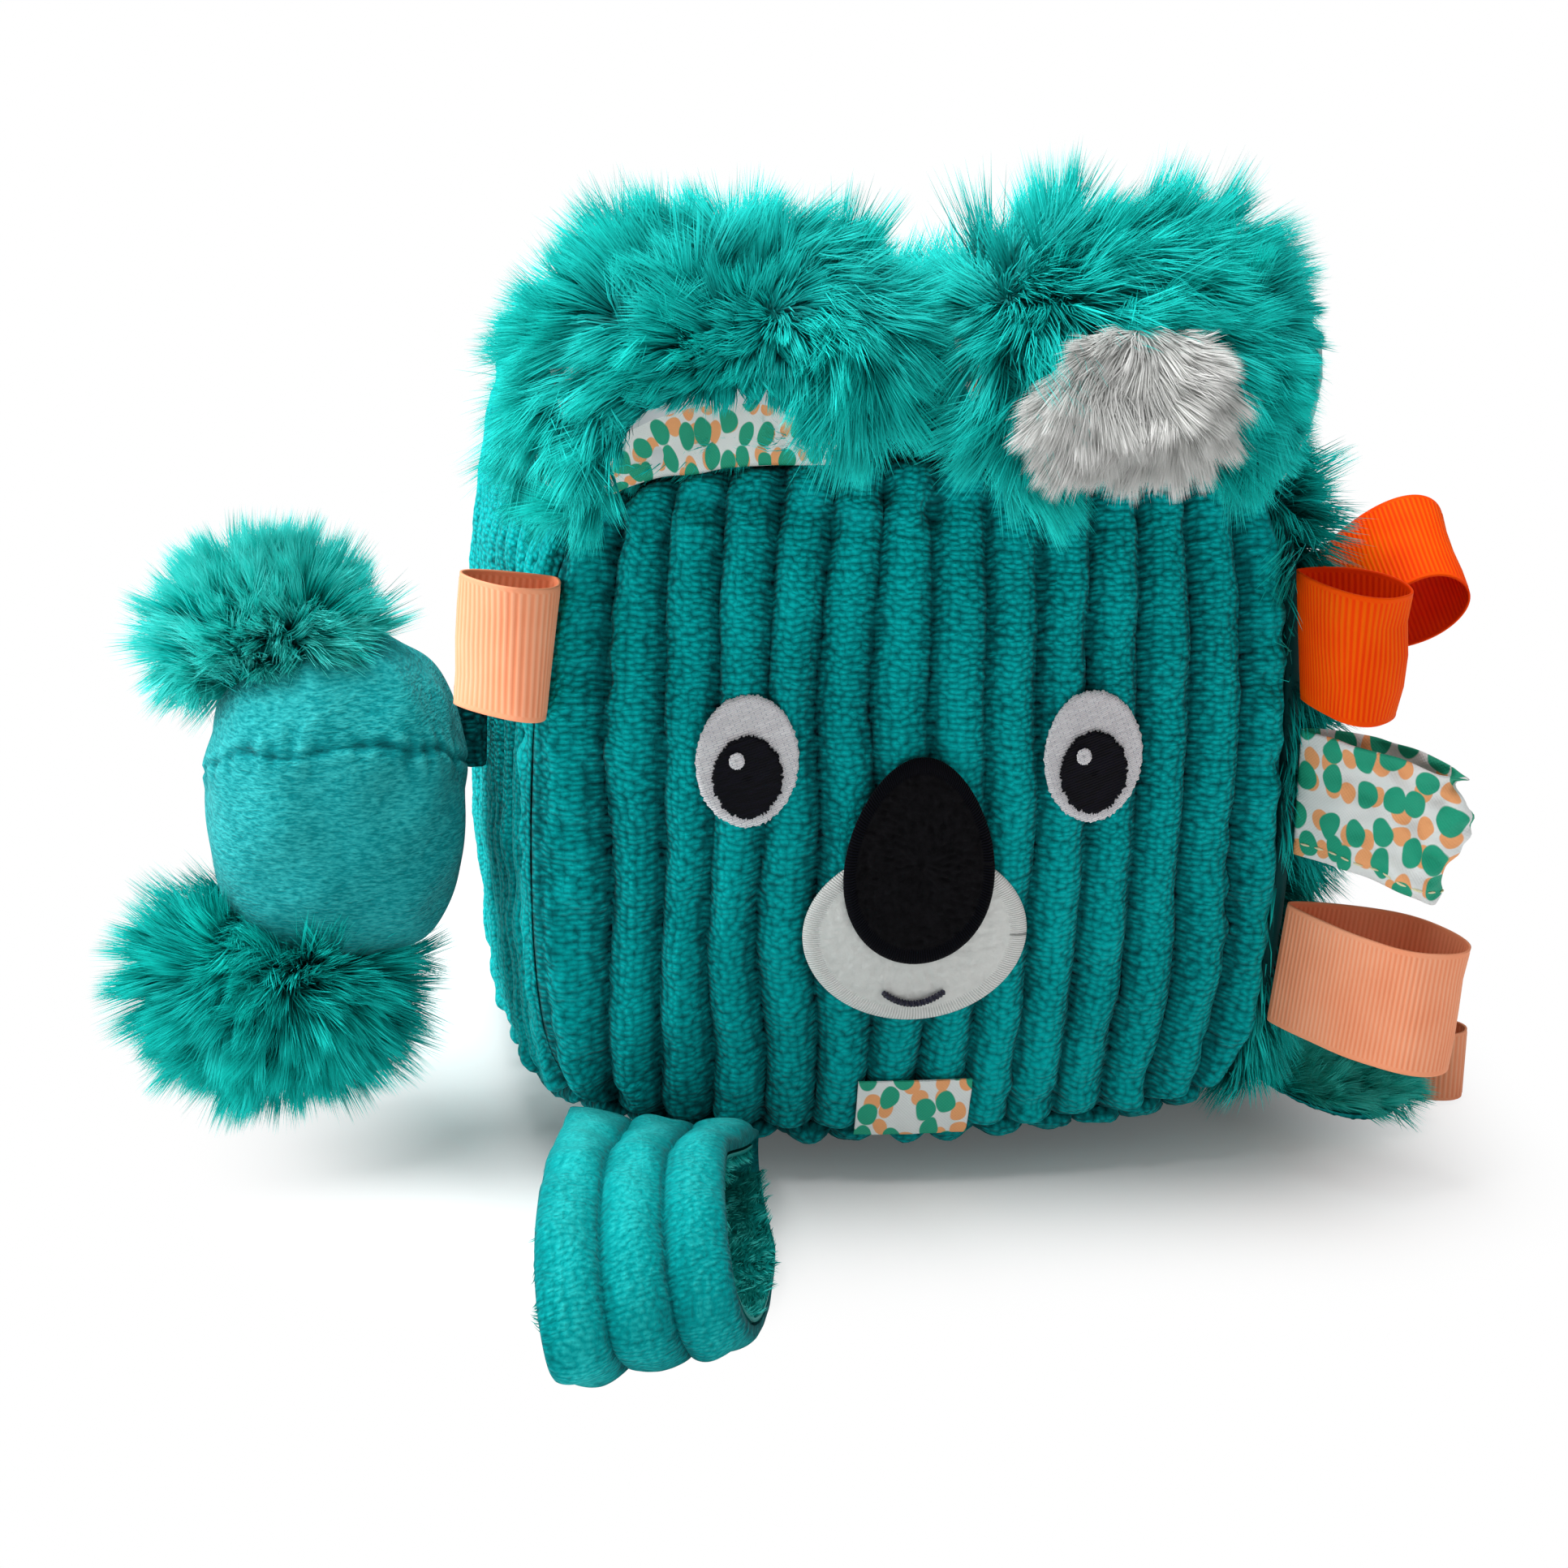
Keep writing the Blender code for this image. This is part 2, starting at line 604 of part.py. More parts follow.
def ear_fur(column, along):
    """The fur's height on an ear: thin at the root, rounded at the sides and at the free edge."""
    side = EAR_EDGE_FUR_SHARE + (1 - EAR_EDGE_FUR_SHARE) * math.sqrt(max(0, 1 - column ** 4))
    root = EAR_ROOT_FUR_SHARE + (1 - EAR_ROOT_FUR_SHARE) * min(1, along / EAR_ROOT_FUR_END_SHARE)
    past = max(0, (along - EAR_FREE_FUR_START_SHARE) / (1 - EAR_FREE_FUR_START_SHARE))
    free = math.sqrt(1 - EAR_FREE_FUR_LOSS_SHARE * past ** 2)
    return EAR_FUR * side * root * free


def ear(label, span, rise, fall):
    """One ear: fur outside, crinkle film between, print lining inside the fold."""
    seam = Vector((0, EAR_ROOT_FORWARD, -EAR_ROOT_GAP))
    hinge = hinge_empty("ear_" + label + "_hinge", (ear_root(span, -1) + ear_root(span, 1)) / 2 + seam)
    rows = [(value + 1) / 2 for value in even_shares(EAR_STEPS)]
    columns = even_shares(EAR_COLUMNS)

    def layer_piece(name, finish, low, high):
        def place(column, along, layer):
            point, normal = ear_frame(span, rise, fall, column, along)
            return point + normal * (high(column, along) if layer else low)

        add_piece(name, layered_sheet(columns, rows, place), finish, hinge)

    film_face = EAR_FILM / 2
    fur_face = film_face + TOUCH
    layer_piece("ear_" + label + "_fur", TEAL_FUR, fur_face, lambda a, b: fur_face + ear_fur(a, b))
    layer_piece("ear_" + label + "_film", FILM, -film_face, lambda a, b: film_face)
    layer_piece("ear_" + label + "_lining", PRINT_COTTON, -fur_face - EAR_LINING, lambda a, b: -fur_face)
    return hinge


def ear_tuft(hinge):
    """The white fur patch that hangs on the right ear's folded part."""
    columns, rows = even_shares(6), even_shares(TUFT_STEPS)

    def place(column, row, layer):
        a, b = disc_point(column, row)
        across = TUFT_ACROSS_SHARES[0] + (TUFT_ACROSS_SHARES[1] - TUFT_ACROSS_SHARES[0]) * (a + 1) / 2
        along = TUFT_ALONG_SHARES[0] + (TUFT_ALONG_SHARES[1] - TUFT_ALONG_SHARES[0]) * (b + 1) / 2
        point, normal = ear_frame(EAR_RIGHT_SPAN, EAR_RIGHT_RISE, EAR_RIGHT_FALL, across, along)
        base = EAR_FILM / 2 + TUFT_SEAT + ear_fur(across, along)
        hang = Vector((0, 0, -TUFT_OVERHANG * max(0, (b + 1) / 2) ** 2))
        return point + normal * (base + layer * TUFT_FUR * pad_share(a, b)) + hang

    add_piece("ear_right_tuft", layered_sheet(columns, rows, place), WHITE_FUR, hinge)


def lobe(centre, halves, power, segments=16, rings=10):
    """A stuffed lobe: a sphere drawn out to a rounded box."""
    bm = bmesh.new()
    bmesh.ops.create_uvsphere(bm, u_segments=segments, v_segments=rings, radius=1)
    for vertex in bm.verts:
        direction = vertex.co.normalized()
        vertex.co = Vector(centre) + direction * super_radius(direction, halves, power)
    return bm


def ball_halves(grow):
    return [half + grow for half in BALL_HALF_SIZES]


def ball_ear(name, offset, halves, lean, hinge):
    """A fur ear of the plush head, hollowed where it is sewn against the head."""
    centre = Vector(BALL_CENTRE) + Vector(offset)
    bm = lobe(centre, halves, BALL_EAR_SQUARENESS)
    for vertex in bm.verts:
        share = (vertex.co.x - centre[0]) / halves[0]
        vertex.co.z -= lean * BALL_EAR_DROOP * share * share * (1 if share < 0 else 0)
        vertex.co.z = max(vertex.co.z, TOUCH)
    piece = add_piece(name, bm, TEAL_FUR, hinge)
    seat = lobe(BALL_CENTRE, ball_halves(BALL_EAR_SEAT), BALL_SQUARENESS, 24, 16)
    cut(piece, add_piece(name + "_cutter", seat, TEAL_FUR))


def ball_skin_x(y, z):
    """Where the plush head's skin faces the block, at a place across and a height."""
    _, dy, dz = (abs(value - middle) / half for value, middle, half in
                 zip((0, y, z), BALL_CENTRE, BALL_HALF_SIZES))
    share = (1 - dy ** BALL_SQUARENESS - dz ** BALL_SQUARENESS) ** (1 / BALL_SQUARENESS)
    return BALL_CENTRE[0] + BALL_HALF_SIZES[0] * share


def tether(wall_x, skin_x):
    """The upright tab between the left cover and the plush head, round at both ends, which it turns about."""
    radius = TETHER_THICKNESS / 2
    near, far = wall_x - TOUCH - radius, skin_x + TOUCH + radius
    hinges = [hinge_empty("side_tether_hinge", (near, TETHER_Y, TETHER_HEIGHT)),
              hinge_empty("side_ball_hinge", (far, TETHER_Y, TETHER_HEIGHT))]
    bm = bmesh.new()
    bmesh.ops.create_cone(bm, cap_ends=True, segments=TETHER_END_SEGMENTS, radius1=radius, radius2=radius,
                          depth=TETHER_WIDTH)
    for vertex in bm.verts:
        vertex.co += Vector((near if vertex.co.x > 0 else far, TETHER_Y, TETHER_HEIGHT))
    add_piece("side_tether", bm, RIBBED_VELOUR, hinges[0])
    return hinges[1]


def plush_head():
    """The small stuffed head with two fur ears, tethered to the left cover."""
    wall = cover_point("left", TETHER_Y_SHARE, height_share(TETHER_HEIGHT))
    hinge = tether(wall.x, ball_skin_x(TETHER_Y - TETHER_THICKNESS / 2, BALL_CENTRE[2]))
    outer, inner = ball_halves(0), ball_halves(-BALL_COVER)
    for side, half in ((1, "upper"), (-1, "lower")):
        skin = dome_shell(BALL_CENTRE, side, outer, inner, BALL_SQUARENESS, BALL_STEPS)
        add_piece("side_ball_cover_" + half, skin, PLAIN_VELOUR, hinge)
    filling = lobe(BALL_CENTRE, ball_halves(-BALL_COVER - BALL_FILLING_SLACK), BALL_SQUARENESS)
    add_piece("side_ball_filling", filling, STUFFING, hinge)
    ball_ear("side_ball_ear_upper", BALL_EAR_TOP_OFFSET, BALL_EAR_TOP_HALF_SIZES, 1, hinge)
    ball_ear("side_ball_ear_lower", BALL_EAR_LOW_OFFSET, BALL_EAR_LOW_HALF_SIZES, 0, hinge)


def loop_swell(turn):
    """How far a drop-shaped loop's sides stand apart, for a turn from 0 at its root, before it is scaled."""
    half = abs(math.sin(turn / 2))
    return math.sin(turn) * (LOOP_NECK_SHARE + (1 - LOOP_NECK_SHARE) * half ** LOOP_SWELL_POWER)


LOOP_WIDEST = max(loop_swell(math.radians(degree)) for degree in range(180))


def loop_share(turn):
    """A drop-shaped loop's shares of its length and of its half width, for a turn from 0 at its root."""
    return (1 - math.cos(turn)) / 2, loop_swell(turn) / LOOP_WIDEST


def rolled_band(columns, steps, place):
    """A closed band round a loop: place(column, turn, layer) gives its points, layer 1 outside."""
    bm = bmesh.new()
    across = len(columns) - 1
    bmesh.ops.create_grid(bm, x_segments=across, y_segments=steps, size=1)
    for vertex in bm.verts:
        turn = math.pi * (vertex.co.y + 1)
        vertex.co = (math.cos(turn), math.sin(turn), vertex.co.x)
    bmesh.ops.remove_doubles(bm, verts=bm.verts[:], dist=1e-4)
    bmesh.ops.recalc_face_normals(bm, faces=bm.faces[:])
    bmesh.ops.solidify(bm, geom=bm.faces[:], thickness=0.5)
    radii = [math.hypot(vertex.co.x, vertex.co.y) for vertex in bm.verts]
    split = (min(radii) + max(radii)) / 2
    for vertex, radius in zip(bm.verts, radii):
        column = columns[round((vertex.co.z + 1) / 2 * across)]
        turn = math.atan2(vertex.co.y, vertex.co.x) % (2 * math.pi)
        vertex.co = place(column, turn, 1 if radius > split else 0)
    return bm


def offset_loop(turn, distance, length, bulge):
    """A point of a drop-shaped loop moved outwards by a distance, as (out, aside)."""
    out, aside = loop_share(turn)
    ahead = loop_share(turn + SLOPE_STEP)
    behind = loop_share(turn - SLOPE_STEP)
    run = Vector(((ahead[0] - behind[0]) * length, (ahead[1] - behind[1]) * bulge / 2, 0)).normalized()
    return out * length - run.y * distance, aside * bulge / 2 + run.x * distance


def ribbon_loop(name, root, out, across, length, bulge, width, finish, hinge, tip_across=None, drop=0):
    """A ribbon folded into a loop: root is its sewn middle, out its direction, across its width's direction.

    Towards its tip its width turns to tip_across, and it sags by a drop, both by the square of the way out.
    """
    out, across = out.normalized(), across.normalized()
    out = (out - across * out.dot(across)).normalized()
    tip_across = (tip_across or across).normalized()

    def place(column, turn, layer):
        run, aside = offset_loop(turn, layer * RIBBON_THICKNESS, length, bulge)
        way = max(0, min(1, run / length)) ** 2
        width_line = across.lerp(tip_across, way).normalized()
        side_line = out.cross(width_line).normalized()
        middle = root + out * (run + RIBBON_THICKNESS + RIBBON_ROOT_GAP) - Vector((0, 0, drop * way))
        return middle + side_line * aside + width_line * (column * width / 2)

    add_piece(name, rolled_band([-1, 1], RIBBON_STEPS, place), finish, hinge)


def seam_ribbon(name, faces, share, turn, length, bulge, width, finish, tilt=0, drop=0):
    """A ribbon loop sewn into an upright seam, with its hinge line along the seam.

    It turns from straight sideways towards the front or back face, and its tip's width tilts outwards.
    """
    reach = width / 2 / SEAM_HALF_HEIGHT
    y_side, x_side = (face_axes(face)[1] for face in faces)
    out = Vector((x_side * math.cos(turn), y_side * math.sin(turn), 0))
    tip_across = Vector((x_side * math.sin(tilt), 0, math.cos(tilt)))
    low, high = seam_point(*faces, share - reach), seam_point(*faces, share + reach)
    root = (low + high) / 2
    hinge = hinge_empty(name + "_hinge", root)
    ribbon_loop(name, root, out, high - low, length, bulge, width, finish, hinge, tip_across, drop)


def height_share(height):
    return (height - CENTRE_HEIGHT) / SEAM_HALF_HEIGHT


def ribbons():
    """The loops in the corner seams, and the one sewn on the right cover."""
    front_left, front_right = ("front", "left"), ("front", "right")
    seam_ribbon("ribbon_peach_left", front_left, height_share(PEACH_LEFT_HEIGHT), PEACH_LEFT_TURN,
                PEACH_LEFT_LENGTH, PEACH_LEFT_BULGE, RIBBON_WIDTH, PEACH_RIBBON)
    seam_ribbon("ribbon_orange_front", front_right, height_share(ORANGE_FRONT_HEIGHT), ORANGE_FRONT_TURN,
                ORANGE_FRONT_LENGTH, ORANGE_FRONT_BULGE, RIBBON_WIDTH, ORANGE_RIBBON, ORANGE_FRONT_TILT)
    seam_ribbon("loop_print_right", front_right, height_share(PRINT_RIGHT_HEIGHT), PRINT_RIGHT_TURN,
                PRINT_RIGHT_LENGTH, PRINT_RIGHT_BULGE, RIBBON_WIDTH, PRINT_COTTON, PRINT_RIGHT_TILT,
                PRINT_RIGHT_DROP)
    seam_ribbon("ribbon_peach_right", front_right, height_share(PEACH_RIGHT_HEIGHT), PEACH_RIGHT_TURN,
                PEACH_RIGHT_LENGTH, PEACH_RIGHT_BULGE, RIBBON_WIDTH, PEACH_RIBBON, PEACH_RIGHT_TILT)
    seam_ribbon("loop_print_back", ("back", "right"), height_share(PRINT_BACK_HEIGHT), PRINT_BACK_TURN,
                PRINT_BACK_LENGTH, PRINT_BACK_BULGE, PRINT_BACK_WIDTH, PRINT_COTTON)
    place = (ORANGE_BACK_Y_SHARE, ORANGE_BACK_HEIGHT_SHARE)
    root = cover_point("right", *place, 0, FUR_PILE_SIDE) - Vector((ORANGE_BACK_SINK, 0, 0))
    hinge = hinge_empty("ribbon_orange_back_hinge", root)
    out = Vector((math.cos(ORANGE_BACK_RISE), 0, math.sin(ORANGE_BACK_RISE)))
    across = Vector((0, math.cos(ORANGE_BACK_LEAN), math.sin(ORANGE_BACK_LEAN)))
    ribbon_loop("ribbon_orange_back", root, out, across, ORANGE_BACK_LENGTH, ORANGE_BACK_BULGE,
                RIBBON_WIDTH, ORANGE_RIBBON, hinge)


def print_tab():
    """A flat tab of print cotton over the bottom front seam, lying on the front cover."""

    def place(column, row, layer):
        x = column * PRINT_TAB_HALF_WIDTH
        z = CENTRE_HEIGHT - SEAM_HALF_HEIGHT - PRINT_TAB_DROP + PRINT_TAB_HEIGHT * (row + 1) / 2
        point = cover_point("front", *front_shares(x, z))
        point.y -= TOUCH + layer * RIBBON_THICKNESS
        return point

    add_piece("print_tab_bottom", layered_sheet(even_shares(6), even_shares(4), place), PRINT_COTTON)


def strap():
    """The hand strap: ribbed velour with a fluffier lining, sewn into the bottom front seam."""
    root = seam_point("front", "bottom", STRAP_ROOT_X / (SEAM_HALF_WIDTH + SEAM_BOW))
    hinge = hinge_empty("strap_hinge", root)
    thickness = STRAP_CLOTH + STRAP_RIB_HEIGHT
    rise = STRAP_BULGE / 2 + thickness - FLOOR_CUT - root.z
    seat = thickness * STRAP_ROOT_CLOTH_SHARE + 2 * TOUCH

    def point_of(share, turn, distance):
        run, up = offset_loop(turn, distance, STRAP_LENGTH, STRAP_BULGE)
        reach = max(0, min(1, 2 * run / STRAP_LENGTH))
        lift = rise * math.sin(math.pi / 2 * reach) - STRAP_ROOT_DIP * math.sin(math.pi * reach)
        run *= 1 - STRAP_SKEW_SHARE * share * reach
        x = STRAP_ROOT_X + share * STRAP_WIDTH / 2
        sewn = seam_point("front", "bottom", x / (SEAM_HALF_WIDTH + SEAM_BOW))
        height = sewn.z + (root.z - sewn.z) * reach + up + lift
        return Vector((x + run * math.sin(STRAP_YAW), sewn.y - run - seat, max(height, 0)))

    def outer(column, turn, layer):
        share, height = column
        taper = min(1, loop_share(turn)[0] * STRAP_LENGTH / STRAP_TAPER_LENGTH)
        cloth = STRAP_ROOT_CLOTH_SHARE + (1 - STRAP_ROOT_CLOTH_SHARE) * taper
        return point_of(share, turn, layer * cloth * (STRAP_CLOTH + STRAP_RIB_HEIGHT * height))

    def lining(share, turn, layer):
        return point_of(share, turn, -2 * TOUCH - (0 if layer else STRAP_LINING))

    add_piece("strap_outer", rolled_band(rib_stations(STRAP_RIBS), STRAP_STEPS, outer), STRAP_VELOUR, hinge)
    lined = range(STRAP_BARE_STEPS, STRAP_STEPS - STRAP_BARE_STEPS + 1)
    turns = [2 * math.pi * step / STRAP_STEPS for step in lined]
    add_piece("strap_lining", layered_sheet(even_shares(STRAP_RIBS), turns, lining), STRAP_VELOUR, hinge)


def foot_flap():
    """The flap at the lower right seam: fur above, velour below, and a small ribbon loop at its tip."""
    root = seam_point("bottom", "right", FLAP_Y_SHARE)
    hinge = hinge_empty("foot_flap_hinge", root)
    drop = root.z - FLAP_CLOTH - FLAP_FLOOR_GAP
    start_x = root.x + TOUCH + FLAP_CLOTH / 2

    def slab(name, finish, low, high):
        def place(column, row, layer):
            a, b = disc_point(column, row)
            out = (a + 1) / 2
            x = start_x + FLAP_LENGTH * out
            y = root.y + FLAP_HALF_WIDTH * b
            middle = root.z - drop * math.sin(math.pi / 2 * out)
            swell = FLAP_ROOT_SHARE + (1 - FLAP_ROOT_SHARE) * min(1, out / FLAP_FULL_SHARE)
            return Vector((x, y, middle + low + layer * (high - low) * pad_share(a, b) * swell))

        steps = even_shares(6)
        add_piece(name, layered_sheet(steps, steps, place), finish, hinge)

    slab("foot_flap_fur", TEAL_FUR, TOUCH, FLAP_FUR)
    slab("foot_flap_velour", PLAIN_VELOUR, 0, -FLAP_CLOTH)
    tip = Vector((start_x + FLAP_LENGTH, root.y, FLAP_FLOOR_GAP + SMALL_RIBBON_WIDTH / 2))
    ribbon_loop("ribbon_peach_small", tip, Vector((1, 0, 0)), Vector((0, 0, 1)), SMALL_RIBBON_LENGTH,
                SMALL_RIBBON_BULGE, SMALL_RIBBON_WIDTH, PEACH_RIBBON, hinge)


block_covers()
foam_block()
rattle()
animal_face()
ear("left", EAR_LEFT_SPAN, EAR_LEFT_RISE, EAR_LEFT_FALL)
ear_tuft(ear("right", EAR_RIGHT_SPAN, EAR_RIGHT_RISE, EAR_RIGHT_FALL))
plush_head()
ribbons()
print_tab()
strap()
foot_flap()
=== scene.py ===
"""Soft fabric activity block for a baby: its looks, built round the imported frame.

Metres, +Z up. The origin is on the floor under the block, and the face looks along -Y.
"""

import math

import bpy
import numpy as np
from mathutils import Matrix, Vector


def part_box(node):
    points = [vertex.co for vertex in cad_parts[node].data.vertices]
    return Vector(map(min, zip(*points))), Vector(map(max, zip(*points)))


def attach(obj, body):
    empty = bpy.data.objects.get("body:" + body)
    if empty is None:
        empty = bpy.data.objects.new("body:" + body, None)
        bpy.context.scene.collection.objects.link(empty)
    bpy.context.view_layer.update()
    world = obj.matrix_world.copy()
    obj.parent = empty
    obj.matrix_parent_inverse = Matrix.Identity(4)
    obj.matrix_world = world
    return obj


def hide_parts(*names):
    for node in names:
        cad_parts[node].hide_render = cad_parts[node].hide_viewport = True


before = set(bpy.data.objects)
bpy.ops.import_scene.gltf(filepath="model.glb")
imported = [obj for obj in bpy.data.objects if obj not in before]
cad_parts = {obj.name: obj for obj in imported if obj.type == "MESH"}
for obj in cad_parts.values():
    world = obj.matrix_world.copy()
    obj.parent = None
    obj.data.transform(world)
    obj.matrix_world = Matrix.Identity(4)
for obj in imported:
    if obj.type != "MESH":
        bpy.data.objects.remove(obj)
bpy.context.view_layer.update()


# Studio
# A white sweep under soft boxes from above and from the left, as in a catalogue picture.
# The floor is a pale plane that shows white to the camera where no shadow falls on it.

def placed(name, data):
    """A new object of the scene."""
    made = bpy.data.objects.new(name, data)
    bpy.context.scene.collection.objects.link(made)
    return made


def studio_camera():
    """The photograph's camera: a long lens from the left and a little above."""
    right = Vector((0.9899, -0.1387, 0.0282))
    up = Vector((0.0163, 0.3099, 0.9506))
    back = right.cross(up).normalized()
    up = back.cross(right).normalized()
    camera = placed("camera", bpy.data.cameras.new("camera"))
    turn = Matrix((right, up, back)).transposed().to_4x4()
    camera.matrix_world = Matrix.Translation((-0.1395, -0.8275, 0.3312)) @ turn
    camera.data.sensor_width = 36
    camera.data.lens = 95.6
    camera.data.clip_start = 0.05
    camera.data.clip_end = 50
    bpy.context.scene.camera = camera


def soft_box(name, place, aim, size, power):
    """A square area lamp that faces a point of the toy."""
    lamp = bpy.data.lights.new(name, "AREA")
    lamp.size = size
    lamp.energy = power
    holder = placed(name, lamp)
    holder.location = place
    holder.rotation_euler = (Vector(aim) - Vector(place)).to_track_quat("-Z", "Y").to_euler()


class Socket:
    """A value in a finish. Sums, products and powers of it add Math nodes."""

    def __init__(self, finish, outlet):
        self.finish = finish
        self.outlet = outlet

    def maths(self, operation, *values):
        """A Math node of some values, or of this one alone."""
        return self.finish.node("Math", {"operation": operation}, dict(enumerate(values or (self,))))

    def __rsub__(self, other):
        return self.maths("SUBTRACT", other, self)


for method, operation in (("__add__", "ADD"), ("__radd__", "ADD"), ("__mul__", "MULTIPLY"),
                          ("__rmul__", "MULTIPLY"), ("__sub__", "SUBTRACT"), ("__pow__", "POWER"),
                          ("least", "MINIMUM"), ("most", "MAXIMUM")):
    setattr(Socket, method, lambda self, other, kind=operation: self.maths(kind, self, other))


class Finish:
    """A procedural material: a Principled shader and the nodes that feed it."""

    def __init__(self, name, roughness, sheen=0.0, specular=0.5):
        self.material = bpy.data.materials.new(name)
        self.material.use_nodes = True
        self.tree = self.material.node_tree
        self.shader = self.tree.nodes["Principled BSDF"]
        self.shader.inputs["Roughness"].default_value = roughness
        self.shader.inputs["Sheen Weight"].default_value = sheen
        self.shader.inputs["Sheen Roughness"].default_value = 0.45
        self.shader.inputs["Specular IOR Level"].default_value = specular

    def node(self, kind, settings=None, sockets=None, outlet=0):
        """Adds a node: its type, then its settings, then the values or links of its sockets."""
        made = self.tree.nodes.new("ShaderNode" + kind)
        for label, value in (settings or {}).items():
            setattr(made, label, value)
        for label, value in (sockets or {}).items():
            if isinstance(value, Socket):
                self.tree.links.new(value.outlet, made.inputs[label])
            else:
                made.inputs[label].default_value = value
        return Socket(self, made.outputs[outlet])

    def feed(self, label, value):
        self.tree.links.new(value.outlet, self.shader.inputs[label])

    def dyed(self, height, *stops):
        """Colours the cloth by a height. Each of three stops is a height and the colour there."""
        ramp = self.node("ValToRGB", {}, {0: height})
        elements = ramp.outlet.node.color_ramp.elements
        elements.new(1)
        for stop, (place, colour) in zip(elements, stops):
            stop.position = place
            stop.color = colour
        self.feed("Base Color", ramp)

    def bumped(self, height, distance, strength=1.0):
        """Feeds a height to the shader's normal."""
        sockets = {"Strength": strength, "Distance": distance, "Height": height}
        self.feed("Normal", self.node("Bump", {}, sockets))

    def mixed(self, share, first, second, blend="MIX"):
        """A colour between two others, or a place moved by one."""
        settings = {"data_type": "RGBA", "blend_type": blend}
        return self.node("Mix", settings, {0: share, 6: first, 7: second}, 2)

    def carried(self, label):
        """A value that the mesh carries at its points."""
        return self.node("Attribute", {"attribute_name": label}, outlet="Fac")

    def solid(self):
        """The place in the piece's own space."""
        return self.node("TexCoord", outlet="Object")

    def cloth(self):
        """The place on the flat cloth, in metres."""
        return self.node("UVMap", {"uv_map": "cloth"})

    def wavy(self, place, scale, amount):
        """A place on the cloth, moved aside by soft noise."""
        noise = self.node("TexNoise", {}, {"Vector": place, "Scale": scale, "Detail": 1.0}, "Color")
        return self.mixed(amount, place, noise, "LINEAR_LIGHT")

    def speckle(self, pitch, detail=2.0, place=None):
        """Noise with blotches of about a pitch in metres."""
        place = place or self.solid()
        return self.node("TexNoise", {}, {"Vector": place, "Scale": 0.5 / pitch, "Detail": detail})

    def cells(self, place, scale):
        """How far a place on the cloth is from the middle of its cell."""
        return self.node("TexVoronoi", {"voronoi_dimensions": "2D"},
                         {"Vector": place, "Scale": scale, "Randomness": 0.62})

    def threads(self, pitch, axis="Y"):
        """Sine waves of a pitch along an axis of the cloth."""
        return (self.node("SeparateXYZ", {}, {0: self.cloth()}, axis) * (math.tau / pitch)).maths("SINE")


def dye(red, green, blue):
    """A colour as it is read off a picture, from 0 to 255, for a shader."""
    return tuple((value / 255) ** 2.2 for value in (red, green, blue)) + (1.0,)


def studio_floor():
    """A plane that keeps the toy's shadow near it, and is white to the camera and to mirrors."""
    mesh = bpy.data.meshes.new("studio_floor")
    reach, low = 8.0, -0.0004
    corners = [(-reach, -reach, low), (reach, -reach, low), (reach, reach, low), (-reach, reach, low)]
    mesh.from_pydata(corners, [], [(0, 1, 2, 3)])
    floor = placed("studio_floor", mesh)
    paper = Finish("studio_paper", 0.9)
    seen = sum((paper.node("LightPath", outlet=label) for label in ("Is Glossy Ray", "Is Transmission Ray")),
               paper.node("LightPath", outlet="Is Camera Ray"))
    place = paper.solid()
    aside, ahead = ((paper.node("SeparateXYZ", {}, {0: place}, label).maths("ABSOLUTE") - 0.0705).most(0)
                    for label in "XY")
    away = (aside * aside + ahead * ahead) ** 0.5
    share = paper.node("MapRange", {"interpolation_type": "SMOOTHSTEP"},
                       {"Value": away, "From Min": 0.0, "From Max": 0.072, "To Min": 0.08, "To Max": 1.0})
    glow = paper.node("Emission", {}, {"Color": (1, 1, 1, 1), "Strength": 1.0})
    plain = Socket(paper, paper.shader.outputs[0])
    mix = paper.node("MixShader", {}, {0: seen.least(1) * share, 1: plain, 2: glow})
    paper.tree.links.new(mix.outlet, paper.tree.nodes["Material Output"].inputs["Surface"])
    paper.shader.inputs["Base Color"].default_value = (0.96, 0.96, 0.96, 1)
    mesh.materials.append(paper.material)


def studio_air():
    """An even white room, a little dimmer than it looks."""
    world = bpy.data.worlds.new("studio_air")
    bpy.context.scene.world = world
    world.use_nodes = True
    tree = world.node_tree
    path = tree.nodes.new("ShaderNodeLightPath")
    level = tree.nodes.new("ShaderNodeMapRange")
    level.inputs["To Min"].default_value = 0.40
    level.inputs["To Max"].default_value = 1.0
    tree.links.new(path.outputs["Is Camera Ray"], level.inputs["Value"])
    tree.nodes["Background"].inputs["Color"].default_value = (1, 1, 1, 1)
    tree.links.new(level.outputs["Result"], tree.nodes["Background"].inputs["Strength"])


studio_camera()
studio_floor()
studio_air()
soft_box("key_above", (-0.35, -0.15, 1.25), (0, 0, 0.08), 0.7, 15.0)
soft_box("fill_left", (-1.30, 0.02, 0.45), (-0.05, 0, 0.08), 0.6, 14.0)
bpy.context.scene.view_settings.view_transform = "Standard"


# Ribbed velour covers
# The front, left and bottom of the block: thick velour with 14 padded ribs a side, cut from a knit
# with a row of tufts every millimetre and a half, and drawn into puckers at the sewn corners.

